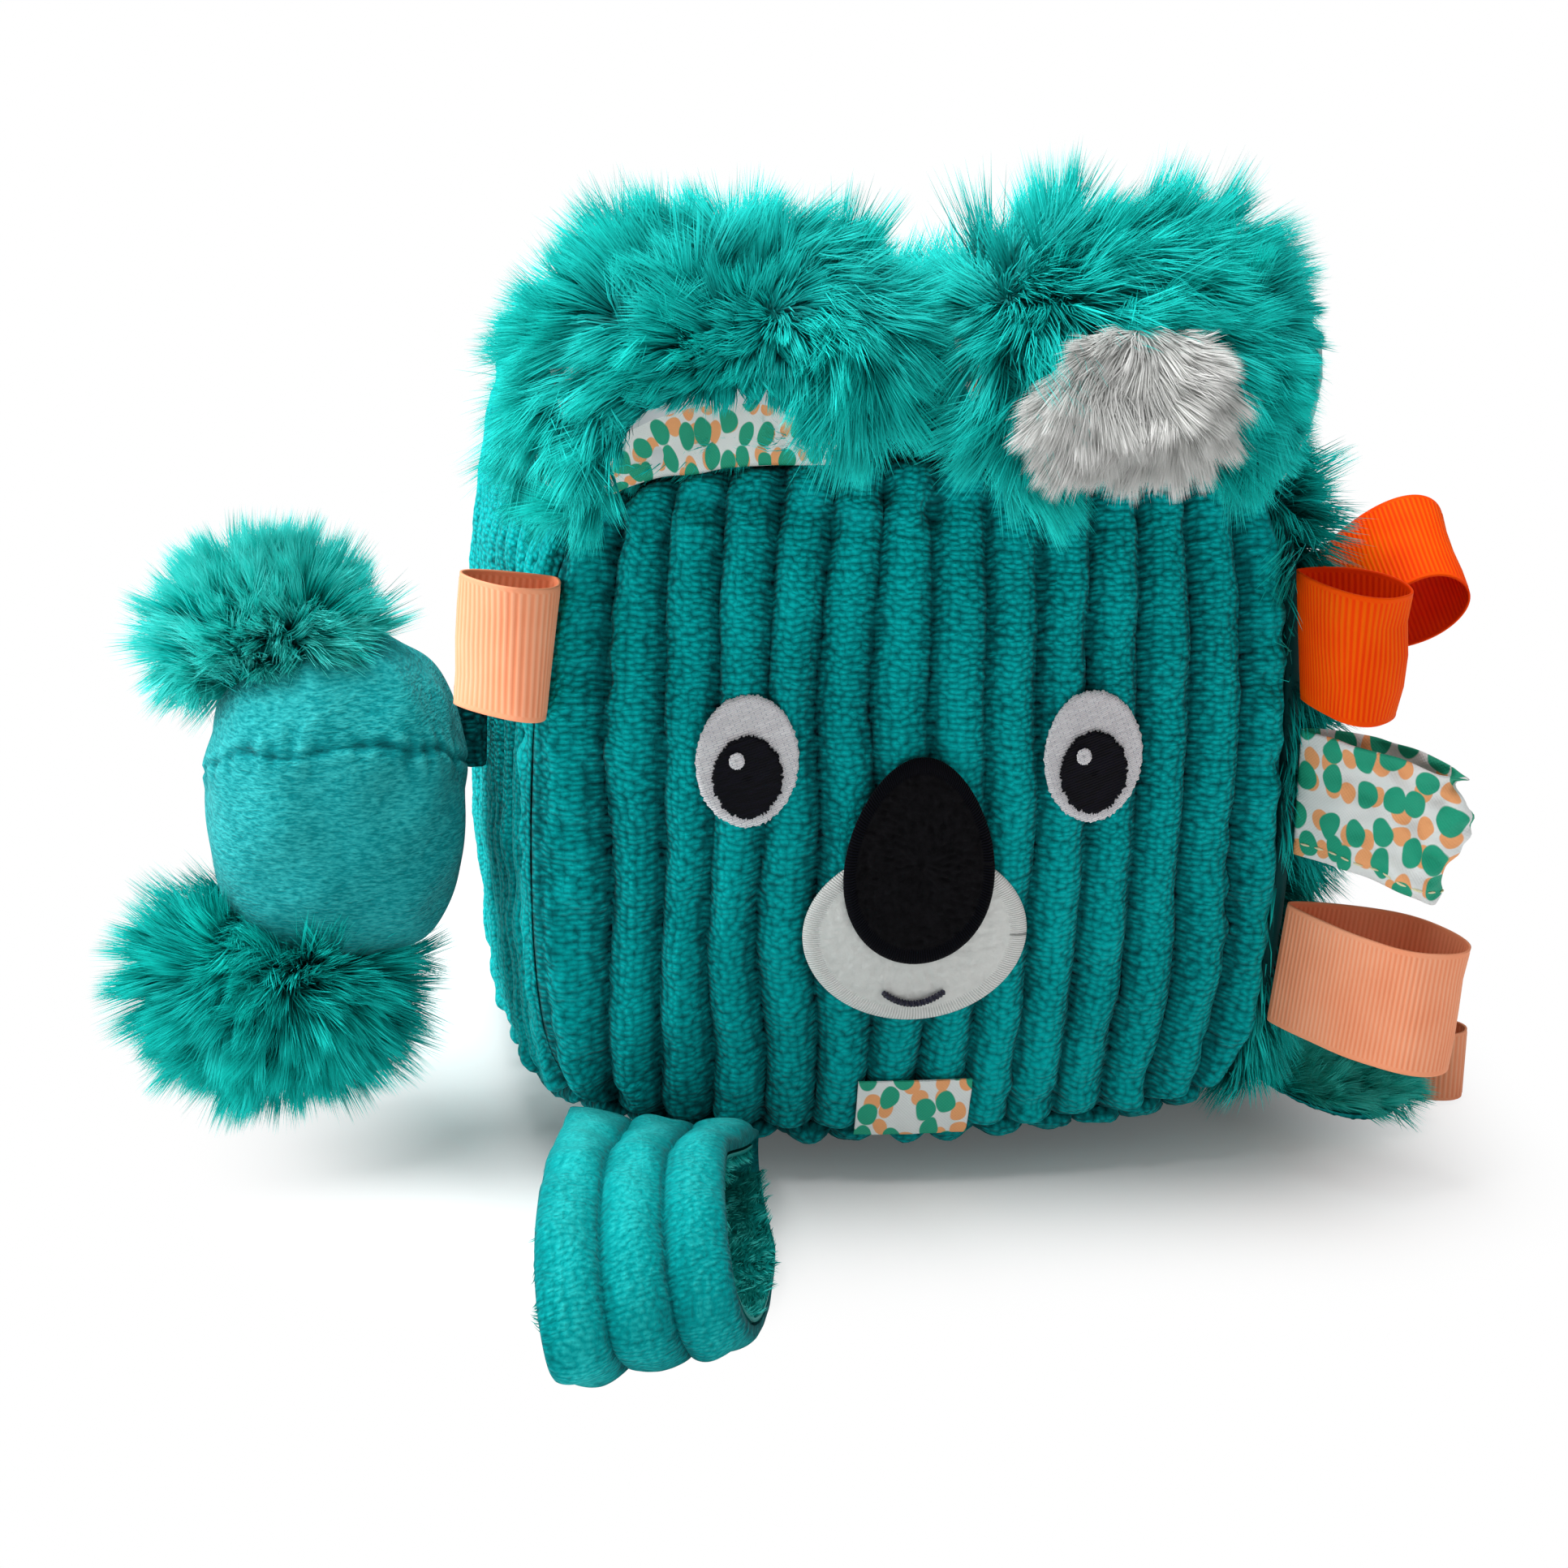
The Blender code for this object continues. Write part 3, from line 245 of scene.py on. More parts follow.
BLOCK_HALF = np.array([0.0705, 0.0705, 0.065])
BLOCK_CENTRE = np.array([0, 0, 0.0785])
HALF_WIDTH = 0.074
HALF_HEIGHT = 0.0685
SEAM_BOW = 0.0035
SEAM_GAP = 0.00005
CORNER_PULL = 0.004
UPPER_LEFT_PULL = 0.0025
SEAM_FILL = 0.0026
SEAM_FILL_REACH = 0.0065
TUCK = 0.0022
SIDES = {  # the axis and direction a side faces, the axes across and along it, and its crown's height
    "front": (1, -1, 0, 2, 0.007),
    "back": (1, 1, 0, 2, 0.006),
    "left": (0, -1, 1, 2, 0.0035),
    "right": (0, 1, 1, 2, 0.0035),
    "top": (2, 1, 0, 1, 0.007),
    "bottom": (2, -1, 0, 1, 0.007),
}


def unit(vectors):
    return vectors / np.maximum(np.linalg.norm(vectors, axis=-1, keepdims=True), 1e-12)


def lattice(*axes):
    """Grids of the values of two axes, each given as its start, its end and its count."""
    return np.meshgrid(*(np.linspace(*axis) for axis in axes), indexing="ij")


def block_point(shares, inset=0.0):
    """A point on the block's seams and flat faces for a point of the unit cube.

    Each axis is its share of half the block, less an inset, plus a bow that falls off with the squares of
    the other two shares, less a corner pull by the sixth power of the product of all three. Towards the
    upper left corners the left and upper edges are drawn in further, by the cube of that product.
    """
    squares = 1 - shares ** 2
    bows = SEAM_BOW * (squares.sum(-1, keepdims=True) - squares)
    corner = np.abs(shares.prod(-1, keepdims=True))
    upper_left = (shares[..., :1] < 0) & (shares[..., 2:] > 0)
    pull = CORNER_PULL * corner ** 6 + UPPER_LEFT_PULL * corner ** 3 * upper_left
    return BLOCK_CENTRE + shares * (BLOCK_HALF - inset + bows - pull)


def front_seam(share, level):
    """The top front seam, at level 1, or the bottom one, at level -1, at a share of half its width."""
    one = np.ones_like(share)
    return block_point(np.stack([share, -one, level * one], -1))


def arch(share):
    """A flattened arch from 1 in the middle to 0 at both ends: the root of 1 less the 2.5th power."""
    return np.sqrt(np.clip(1 - np.abs(share) ** 2.5, 0, None))


def near_front_seams(shares):
    """How near a point is to the left and the top front seam: 1 there, less by the distance's square."""
    x, y, z = shares[..., 0], shares[..., 1], shares[..., 2]
    left = np.exp(-((2 + x + y) * BLOCK_HALF[0] / SEAM_FILL_REACH) ** 2) * arch(z)
    above = np.exp(-((2 + y - z) * BLOCK_HALF[0] / SEAM_FILL_REACH) ** 2) * arch(x)
    return left, above


def seam_fill(shares):
    """How the pile fills the left and top front seams, outwards."""
    left, above = near_front_seams(shares)
    return np.stack([-left, -left - above, above], -1) * SEAM_FILL


def cube_shares(side, a, b):
    """The point of the unit cube at shares a across a side and b along it."""
    axis, sign, across, along, _ = SIDES[side]
    a, b = np.broadcast_arrays(np.asarray(a, float), np.asarray(b, float))
    shares = np.empty(a.shape + (3,))
    shares[..., axis], shares[..., across], shares[..., along] = sign, a, b
    return shares


def skin(side, a, b, inset=0.0, out=0.0):
    """A face of the stuffed block at shares a across it and b along it.

    It is the point between the seams, with the seams' fill, and a crown that is the product of two arches.
    """
    axis, sign, _, _, crown = SIDES[side]
    shares = cube_shares(side, a, b)
    points = block_point(shares, np.asarray(inset, float)[..., None])
    points[..., axis] += sign * (crown + out) * arch(a) * arch(b)
    return points + seam_fill(shares)


def seam_share(a, b, start):
    """How near a cover's point is to its seams: 0 up to a share of half the cover, 1 at the seam."""
    return np.clip((np.maximum(np.abs(a), np.abs(b)) - start) / (1 - start), 0, 1)


def tucked(side, a, b):
    """A side's skin, tucked into its seams by a quarter circle."""
    return skin(side, a, b, TUCK * (1 - np.sqrt(1 - seam_share(a, b, 0.92) ** 2)))


def grid_normals(grid, wrap=False):
    """Unit normals of a grid of points, from the cross product of its two slopes.

    A wrapped grid closes along its rows.
    """
    if wrap:
        down = np.roll(grid, -1, 0) - np.roll(grid, 1, 0)
    else:
        down = np.gradient(grid, axis=0)
    return unit(np.cross(np.gradient(grid, axis=1), down))


def facing(normals, way):
    """Normals turned round where they point against a way."""
    return normals * np.sign((normals * way).sum(-1, keepdims=True))


def grid_faces(rows, columns, wrap=False):
    """Quads over a grid whose points are numbered row by row."""
    row = np.arange(rows if wrap else rows - 1)[:, None]
    column = np.arange(columns - 1)[None, :]
    here, below = row * columns + column, (row + 1) % rows * columns + column
    return np.stack([here, here + 1, below + 1, below], -1).reshape(-1, 4)


def border(rows, columns):
    """The numbers of a grid's edge points, once round."""
    numbers = np.arange(rows * columns).reshape(rows, columns)
    return np.concatenate([numbers[0, :-1], numbers[:-1, -1], numbers[-1, :0:-1], numbers[:0:-1, 0]])


def outward(points, faces):
    """Turns the faces of a closed shell so that it holds a positive volume."""
    volume = 0.0
    for group in faces:
        first = points[group[:, 0]]
        for i in range(1, group.shape[1] - 1):
            volume += (first * np.cross(points[group[:, i]], points[group[:, i + 1]])).sum()
    return faces if volume > 0 else [group[:, ::-1] for group in faces]


def slab(outer, inner, wrap=False):
    """A closed shell of two grids of points joined round their borders; a wrapped one is a band."""
    rows, columns = outer.shape[:2]
    count = rows * columns
    points = np.concatenate([outer.reshape(-1, 3), inner.reshape(-1, 3)])
    top = grid_faces(rows, columns, wrap)
    if wrap:
        numbers = np.arange(count).reshape(rows, columns)
        rims = [numbers[:, 0], numbers[::-1, -1]]
    else:
        rims = [border(rows, columns)]
    walls = [np.stack([rim, np.roll(rim, -1), np.roll(rim, -1) + count, rim + count], -1) for rim in rims]
    return points, outward(points, [top, top[:, ::-1] + count, *walls])


def ripples(points, pitch, seed, waves=16):
    """Even noise of about a pitch: the mean of sine waves in random directions."""
    rng = np.random.default_rng(seed)
    lines = unit(rng.normal(size=(waves, 3))) * rng.uniform(0.7, 1.4, (waves, 1)) * math.tau / pitch
    return np.sin(points @ lines.T + rng.uniform(0, math.tau, waves)).sum(-1) * math.sqrt(2 / waves)


def sew(name, body, nodes, finish, slot, *layers, uv=None, fill=None):
    """Makes one mesh of layers, rides it on a body, and hides the nodes that it stands for.

    A layer is its points, its groups of faces and the values that its points carry. Values and cloth
    places that are given for one side of a cloth are used again for its other side. The slot and fill
    are not used.
    """
    points = np.concatenate([layer[0] for layer in layers]).astype(np.float32)
    starts, corners, total, offset = [], [], 0, 0
    for layer in layers:
        for group in layer[1]:
            corners.append((group + offset).ravel())
            starts.append(total + np.arange(len(group)) * group.shape[1])
            total += group.size
        offset += len(layer[0])
    corners = np.concatenate(corners).astype(np.int32)
    starts = np.concatenate(starts).astype(np.int32)
    mesh = bpy.data.meshes.new(name)
    mesh.vertices.add(len(points))
    mesh.vertices.foreach_set("co", points.ravel())
    mesh.loops.add(total)
    mesh.loops.foreach_set("vertex_index", corners)
    mesh.polygons.add(len(starts))
    mesh.polygons.foreach_set("loop_start", starts)
    mesh.update(calc_edges=True)
    mesh.shade_smooth()
    for label in layers[0][2]:
        values = np.concatenate([np.resize(layer[2][label], len(layer[0])) for layer in layers])
        mesh.attributes.new(label, "FLOAT", "POINT").data.foreach_set("value", values.astype(np.float32))
    if uv is not None:
        places = np.resize(uv, (len(points), 2))[corners].astype(np.float32)
        mesh.uv_layers.new(name="cloth").data.foreach_set("uv", places.ravel())
    mesh.materials.append(finish.material)
    piece = placed(name, mesh)
    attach(piece, body)
    if nodes:
        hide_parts(*nodes)
    return piece


def velour_finish(name, deep, pile, light, tuft=0.00115):
    """Tufted velour: cells of pile in rows, with painted shade between the tufts and in the folds, and a
    painted highlight on the crests.

    The mesh carries how high the cloth stands, which also sets that painted shade and highlight, and how
    plain its tufts are.
    """
    finish = Finish(name, 0.9, sheen=0.04, specular=0.04)
    bent = finish.wavy(finish.cloth(), 160.0, 0.0007)
    place = finish.node("Mapping", {}, {"Vector": bent, "Scale": (0.58, 1.0, 1.0)})
    fibres = finish.speckle(0.0005, 3.0)
    tufts = (0.72 - finish.cells(place, 1 / tuft) * 1.5) * finish.carried("plain")
    height = finish.carried("nap") * 0.66 + tufts * 0.44 + (fibres - 0.5) * 0.6 + 0.08
    height = height + (finish.speckle(0.016, 1.0) - 0.5) * 0.40
    finish.dyed(height, (0.02, deep), (0.48, pile), (1.0, light))
    finish.bumped(tufts * 0.8 + fibres * 0.7, 0.0007, 0.9)
    return finish


# Its deep colour is the painted shade of valleys and seams; its light colour is the painted highlight of
# crests.
RIBBED_VELOUR = velour_finish("ribbed_velour", dye(0, 30, 36), dye(0, 106, 109), dye(8, 182, 184))
RIB_COUNT = 14
RIB_HEIGHT = 0.0026
RIB_ARC = 0.0122


def rib_height(place):
    """A rib's profile over its width: a sine to the power of 0.55, with a broad crest and a sharp valley."""
    return np.abs(np.sin(math.pi * place)) ** 0.55


def cover_shares(rows, columns):
    """Shares along and across a side for a cover's grid, which ends just inside the seams."""
    edge = 1 - SEAM_GAP / BLOCK_HALF[0]
    return lattice((-edge, edge, rows), (-edge, edge, columns))


def closed_cover(side, grid):
    """A cover's closed shell: its face, and a fan from its border to one point behind it."""
    axis, sign = SIDES[side][:2]
    behind = BLOCK_CENTRE.copy()
    behind[axis] += sign * (BLOCK_HALF[axis] + SEAM_BOW)
    rows, columns = grid.shape[:2]
    points = np.concatenate([grid.reshape(-1, 3), [behind]])
    edge = border(rows, columns)
    fan = np.stack([np.roll(edge, -1), edge, np.full(len(edge), rows * columns)], -1)
    return points, outward(points, [grid_faces(rows, columns), fan])


def ribbed_cover(name, side, rows, per_rib, phase=0.0, painted_side_light=0.0, seed=1):
    """A ribbed cover: the face's skin lowered between its ribs, which round off into the seams.

    The ribs wander by a share of their width, the cloth puckers near its seams, and small noise stands the
    pile off by up to a third of a millimetre.
    """
    b, a = cover_shares(rows, RIB_COUNT * per_rib + 1)
    flat = skin(side, a, b)
    wander = 0.10 * ripples(flat, 0.055, seed) * arch(a) * arch(b)
    place = (a + 1) / 2 * RIB_COUNT + phase + wander
    ends = np.sqrt(1 - seam_share(a, b, 0.945) ** 2)
    beside = near_front_seams(cube_shares(side, a, b))[0]
    height = np.maximum(rib_height(place) * ends, 0.62 * beside)
    points = skin(side, a, b, RIB_HEIGHT * (1 - height))
    normals = grid_normals(points)
    axis, sign, _, along, _ = SIDES[side]
    normals *= np.sign(normals[rows // 2, per_rib * RIB_COUNT // 2, axis]) * sign
    near = seam_share(a, b, 0.80)
    puckers = 0.0011 * near * (1 - near ** 2) * ripples(flat, 0.010, seed + 3)
    slump = 0.00030 * ripples(flat, 0.016, seed + 4) + 0.00005 * ripples(flat, 0.0024, seed + 2)
    points += normals * (slump * ends * (0.4 + 0.6 * height) + puckers)[..., None]
    points[..., 2] = np.maximum(points[..., 2], 0)
    cloth = np.stack([place * RIB_ARC, flat[..., along] + 0.0005 * np.sin(math.pi * place) ** 2], -1)
    # The rib height also sets the colour: painted shade in the valleys and where the ribs round into the
    # seams, and a painted highlight on the crests.
    sew(name + "_velour", "block", [name], RIBBED_VELOUR, "ribbed_velour",
        (*closed_cover(side, points), {"nap": height + painted_side_light, "plain": 1.0}), uv=cloth, fill=0.9)


ribbed_cover("front_panel", "front", 400, 16, seed=1)
# The left panel's colour is raised all over: painted light, as lit from the left.
ribbed_cover("left_panel", "left", 300, 12, painted_side_light=0.22, seed=11)
ribbed_cover("bottom_panel", "bottom", 160, 10, phase=0.5, seed=21)


# Plain velour back
# The back is one smooth panel of the same dye, with a short even pile that shows soft brush marks.
# It is tucked into the seams all round.

PLAIN_VELOUR = velour_finish("plain_velour", dye(0, 70, 74), dye(6, 144, 142), dye(50, 200, 196), 0.0009)


def plain_cover():
    """The back's skin with brush marks, and puckers near its seams."""
    b, a = cover_shares(150, 160)
    points = tucked("back", a, b)
    near = seam_share(a, b, 0.80)
    brushed = ripples(points * (1, 1, 0.45), 0.016, 31)
    points[..., 1] += 0.0004 * brushed + 0.0012 * near * (1 - near ** 2) * ripples(points, 0.011, 33)
    # Brush marks vary the tone, and the colour is darkened towards the seams: painted shade.
    shade = np.clip(0.60 + 0.10 * brushed, 0, 1) * (1 - 0.8 * seam_share(a, b, 0.95))
    sew("back_velour", "block", ["back_panel"], PLAIN_VELOUR, "plain_velour",
        (*closed_cover("back", points), {"nap": shade, "plain": 0.5}), uv=points[..., (0, 2)], fill=0.9)


plain_cover()


# Fur of the top and right panels
# Long pile faux fur in teal, backed by a knit. Its hair stands in locks that lean away from the seams.
# Each blade is geometry of its own, and none enters the ribbons at the right seam.

def fur_finish(name, root, hair, tip):
    """Hair: painted shade at its root, a painted highlight towards its tip, and each lock a little different.
    """
    finish = Finish(name, 0.60, specular=0.12)
    # The shade value is a random tone per lock on the hair; tip runs from the root's painted shade to the
    # tip's painted highlight.
    tone = finish.carried("tip") * 0.70 + finish.carried("shade") * 0.42
    finish.dyed(tone, (0.08, root), (0.5, hair), (1.0, tip))
    return finish


TEAL_FUR = fur_finish("teal_fur", dye(0, 60, 62), dye(0, 162, 157), dye(40, 245, 236))


def combed(comb, normals, share=1.0):
    """A way to comb hair, less a share of its part along the normals."""
    return unit(comb - share * normals * (comb * normals).sum(-1, keepdims=True))


def nearest(points, leads):
    """The number of the nearest lead for each point, worked out in slices to spare memory."""
    slices = np.array_split(points, max(1, len(points) // 2000))
    return np.concatenate([((part[:, None] - leads) ** 2).sum(-1).argmin(1) for part in slices])


def pile(roots, normals, comb, length, width, locks, seed, lift=0.5, gather=0.42, sag=0.12, ruffle=0.25,
         shun=()):
    """Blades of hair, gathered in locks, none of which enters the boxes to shun.

    A blade is a quadratic curve. It leaves its root between the normal and the comb direction, which sways
    by broad noise, ends along the comb direction with some sag, and its middle and tip are drawn towards
    those of its lock's leading blade.
    """
    rng = np.random.default_rng(seed)
    count = len(roots)
    leads = rng.choice(count, locks, replace=False)
    lock = nearest(roots, roots[leads])
    ruffled = rng.normal(size=(locks, 3))[lock]
    own = rng.normal(size=(count, 3))
    sway = np.stack([ripples(roots, 0.017, seed + i) for i in (10, 20, 30)], -1)
    comb = unit(comb + sway * ruffle * 1.2)
    lift = np.broadcast_to(np.asarray(lift, float), count)[:, None]
    start = unit(normals * lift + comb * (1 - lift) + ruffled * ruffle * 0.5 + own * 0.14)
    end = unit(comb + normals * lift * 0.8 + np.array([0, 0, -sag]) + ruffled * ruffle + own * 0.18)
    stretch = 1 + 0.16 * rng.normal(size=(locks, 1))[lock] + 0.14 * rng.normal(size=(count, 1))
    reach = np.broadcast_to(np.asarray(length, float), count)[:, None] * np.clip(stretch, 0.5, 1.4)
    middle = roots + start * reach * 0.5
    tip = middle + end * reach * 0.5
    middle += (middle[leads][lock] - middle) * gather * 0.3
    tip += (tip[leads][lock] - tip) * gather
    side = unit(np.cross(tip - roots, normals + own * 0.6)) * width / 2
    bend = roots * 0.25 + middle * 0.5 + tip * 0.25
    points = np.stack([roots - side, roots + side, bend - side * 0.8, bend + side * 0.8, tip], 1)
    points[..., 2] = np.maximum(points[..., 2], 0.0003)
    free = np.ones(count, bool)
    for low, high in shun:
        inside = (points > np.array(low) - 0.0005) & (points < np.array(high) + 0.0005)
        free &= ~inside.all(-1).any(-1)
    tone = np.clip(0.5 + 0.17 * rng.normal(size=locks)[lock] + 0.12 * rng.normal(size=count), 0, 1)
    kept = int(free.sum())
    first = np.arange(kept)[:, None] * 5
    values = {"shade": np.repeat(tone[free], 5), "tip": np.tile([0, 0, 0.5, 0.5, 1.0], kept)}
    return points[free].reshape(-1, 3), [first + (0, 1, 3, 2), first + (2, 3, 4)], values


def scatter(grid, count, seed):
    """Random places spread evenly over a grid's area: their points, normals, and row and column shares."""
    rng = np.random.default_rng(seed)
    normals = grid_normals(grid)
    rows, columns = grid.shape[0] - 1, grid.shape[1] - 1
    one = grid[1:, 1:] - grid[:-1, :-1]
    two = grid[1:, :-1] - grid[:-1, 1:]
    area = np.linalg.norm(np.cross(one, two), axis=-1).ravel()
    cell = rng.choice(rows * columns, count, p=area / area.sum())
    row, column = cell // columns, cell % columns
    u, v = rng.random((count, 1)), rng.random((count, 1))

    def between(values):
        low = values[row, column] * (1 - v) + values[row, column + 1] * v
        high = values[row + 1, column] * (1 - v) + values[row + 1, column + 1] * v
        return low * (1 - u) + high * u

    return between(grid), unit(between(normals)), (row + u[:, 0]) / rows, (column + v[:, 0]) / columns


def fur_cover(name, side, count, length, away, seed, sag, shun=(), thick=(0, 0, 1)):
    """A fur panel: a knit backing tucked into its seams, and hair that is combed away from a point.

    The hair is shorter at the seams, and longer near the point where it is thick.
    """
    axis, sign = SIDES[side][:2]
    b, a = cover_shares(60, 60)
    grid = tucked(side, a, b)
    roots, normals, row, column = scatter(grid, count, seed)
    normals = facing(normals, sign * np.eye(3)[axis])
    inside = arch(row * 2 - 1) * arch(column * 2 - 1)
    longer = np.exp(-(np.linalg.norm(roots - np.array(thick), axis=-1) / 0.016) ** 2)
    hair = pile(roots, normals, combed(roots - np.array(away), normals),
                length * (0.60 + 0.40 * inside + 0.30 * longer), 0.00032, count // 45, seed + 1, lift=0.6,
                sag=sag, shun=shun)
    # The backing's values give it the colour of the hair's roots: painted shade.
    sew(name + "_hair", "block", [name], TEAL_FUR, "teal_fur",
        (*closed_cover(side, grid), {"shade": 0.25, "tip": 0.0}), hair, fill=0.9)


LOOPS = ("ribbon_orange_front", "loop_print_right", "ribbon_peach_right", "ribbon_orange_back",
         "loop_print_back", "foot_flap_fur", "ribbon_peach_small")
fur_cover("top_panel", "top", 26000, 0.0150, (0, 0, 0.10), 41, 0.15)
fur_cover("right_panel", "right", 44000, 0.0165, (0.08, -0.01, 0.12), 51, 0.25,
          shun=[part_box(node) for node in LOOPS], thick=(0.074, -0.060, 0.128))


# Ears
# Two floppy ears of fur outside and printed cotton inside, with crinkle film between. Each is sewn into
# the top front seam, stands up, folds forward over itself, and its long hair swirls out from one spot.

FOLD_RADIUS = 0.0115
EAR_LEAN = math.radians(12)
EAR_SPANS = {"left": (-0.0760, -0.0115), "right": (0.0010, 0.0650)}
EAR_RISES = {"left": 0.030, "right": 0.031}
EAR_FALLS = {"left": 0.0015, "right": 0.013}
EAR_RIM_DROOPS = {"left": 0.014, "right": 0.0}
EAR_FUR = 0.0115
FUR_FACE = 0.00055
PRINT_GAPS = {"left": (-0.74, 0.50), "right": (-0.70, 0.45)}
SWIRLS = {"left": (-0.036, -0.106, 0.183), "right": (0.004, -0.104, 0.188)}
HAIR_SHARES = {"left": (0.80, 0.72, 0.30), "right": (0.90, 0.12, 0.65)}


def ear_sheet(side, across, along):
    """An ear's middle surface and its outward normal, at shares across from -1 to 1 and along from 0 to 1.

    It runs straight up from the seam, round a half circle towards the viewer and down again, and leans
    forward. It droops with the square of the share across, and its left rim by a square of its own. From its
    root it widens by a quarter sine.
    """
    across, along = np.broadcast_arrays(np.asarray(across, float), np.asarray(along, float))
    low, high = EAR_SPANS[side]
    middle, half = (low + high) / 2, (high - low) / 2
    rise, bend = EAR_RISES[side], math.pi * FOLD_RADIUS
    run = along * (rise + bend + EAR_FALLS[side])
    turn = np.clip((run - rise) / FOLD_RADIUS, 0, math.pi)
    forward = FOLD_RADIUS * (1 - np.cos(turn))
    up = np.minimum(run, rise) + FOLD_RADIUS * np.sin(turn) - np.clip(run - rise - bend, 0, None)
    grown = np.sin(math.pi / 2 * np.clip(along / 0.45, 0, 1))
    past = np.clip((along - 0.45) / 0.55, 0, 1)
    width = (0.70 + 0.30 * grown) * (1 - 0.20 * past ** 3)
    root_x = middle + half * 0.70 * across
    root = front_seam(root_x / HALF_WIDTH, 1) + (0, -0.0019, 0.0007)
    x = root[..., 0] + (middle + half * width * across - root[..., 0]) * grown
    left_rim = np.clip((-across - 0.50) / 0.50, 0, 1)
    droop = (0.008 * across ** 2 + EAR_RIM_DROOPS[side] * left_rim ** 2) * grown
    cos, sin = math.cos(EAR_LEAN), math.sin(EAR_LEAN)
    y = root[..., 1] - forward * cos - up * sin
    z = root[..., 2] - forward * sin + up * cos - droop
    normal_y, normal_z = np.cos(turn), np.sin(turn)
    normal = np.stack([0 * x, normal_y * cos - normal_z * sin, normal_y * sin + normal_z * cos], -1)
    return np.stack([x, y, z], -1), normal


def ear_fur_depth(across, along):
    """The fur's depth: thin at the root, rounded at the sides and at the free edge."""
    rounded = 0.30 + 0.70 * np.sqrt(np.clip(1 - across ** 4, 0, None))
    root = 0.10 + 0.90 * np.clip(along / 0.30, 0, 1)
    past = np.clip((along - 0.80) / 0.20, 0, 1)
    return EAR_FUR * rounded * root * np.sqrt(1 - 0.75 * past ** 2)


def ear_fur(side, count, seed, shun=()):
    """An ear's fur: a padded backing, and hair combed away from the swirl, which turns it near its middle.

    The hair's length falls to its own share at the left rim, the right rim and over the gap at the free
    edge, and at the swirl. It is a little longer on top of the fold, and hangs down beside the gap. The
    right ear has a longer lock at its upper left.
    """
    along, across = lattice((0, 1, 60), (-1, 1, 50))
    middle, normal = ear_sheet(side, across, along)
    inner = middle + normal * FUR_FACE
    outer = inner + normal * (ear_fur_depth(across, along)[..., None] * 0.30 + 0.0004)
    roots, normals, row, column = scatter(outer, count, seed)
    place = column * 2 - 1
    normals = facing(normals, ear_sheet(side, place, row)[1])
    away = roots - np.array(SWIRLS[side])
    far = np.linalg.norm(away, axis=-1)
    comb = combed(away, normals, 0.8)
    comb = unit(comb + np.cross(comb, normals) * (0.9 * np.exp(-(far / 0.022) ** 2))[:, None])
    left_share, right_share, free_share = HAIR_SHARES[side]
    rim = np.clip((np.abs(place) - 0.4) / 0.6, 0, 1) ** 1.5
    length = 0.0160 * (0.28 + 0.72 * np.clip(row / 0.25, 0, 1))
    length *= 1 + (np.where(place < 0, left_share, right_share) - 1) * rim
    gap_start, gap_end = PRINT_GAPS[side]
    in_gap = 0.5 + 0.5 * np.tanh(np.minimum(place - gap_start, gap_end - place) / 0.08)
    free = np.clip((row - 0.72) / 0.28, 0, 1)
    length *= 1 + (free_share - 1) * free * in_gap
    length *= 1 + 0.18 * np.exp(-((row - 0.48) / 0.10) ** 2)
    if side == "right":
        length *= 1 + 0.55 * np.exp(-((place + 0.85) / 0.20) ** 2 - ((row - 0.45) / 0.10) ** 2)
    length *= 0.40 + 0.60 * np.clip(far / 0.014, 0, 1)
    comb = unit(comb + np.stack([0 * rim, 0 * rim, -0.5 * rim - 1.3 * free * (1 - in_gap)], -1))
    hair = pile(roots, normals, comb, length, 0.00029, count // 60, seed + 1, lift=0.62 - 0.25 * rim,
                ruffle=0.34, gather=0.36, shun=shun)
    body = "ear_" + side
    # The backing's values give it a colour near the hair's roots: painted shade.
    sew(body + "_hair", body, [body + "_fur"], TEAL_FUR, "teal_fur",
        (*slab(outer, inner), {"shade": 0.5, "tip": 0.15}), hair, fill=0.4)


def print_finish():
    """Printed cotton: a white ground with two sizes of rounded blots, and a fine plain weave."""
    finish = Finish("print_cotton", 0.6, specular=0.3)
    bent = finish.wavy(finish.cloth(), 120.0, 0.0016)
    colour = dye(228, 232, 231)
    for scale, shift, size, ink in ((205.0, 3.0, 0.33, dye(243, 168, 112)),
                                    (178.0, 0.0, 0.37, dye(30, 160, 126))):
        moved = finish.node("Mapping", {}, {"Vector": bent, "Location": (shift, shift, 0),
                                            "Scale": (1.0, 0.74, 1.0)})
        colour = finish.mixed((size - finish.cells(moved, scale)) * 30 + 0.5, colour, ink)
    finish.feed("Base Color", colour)
    weave = math.tau / 9000
    finish.bumped(finish.threads(weave, "X") * finish.threads(weave), 0.0001, 0.35)
    return finish


PRINT_COTTON = print_finish()


def ear_lining(side, seed):
    """An ear's printed lining: a thin sheet with soft creases, under the fold."""
    body = "ear_" + side
    along, across = lattice((0.01, 0.99, 90), (-0.985, 0.985, 60))
    middle, normal = ear_sheet(side, across, along)
    crease = 0.0003 * ripples(middle, 0.012, seed)[..., None]
    upper = middle - normal * (FUR_FACE + 0.0002)
    lower = middle - normal * (FUR_FACE + 0.0010 + crease)
    low, high = EAR_SPANS[side]
    length = EAR_RISES[side] + math.pi * FOLD_RADIUS + EAR_FALLS[side]
    piece = sew(body + "_print", body, [body + "_lining"], PRINT_COTTON, "print_cotton",
                (*slab(upper, lower), {}), uv=np.stack([(across + 1) * (high - low) / 2, along * length], -1))


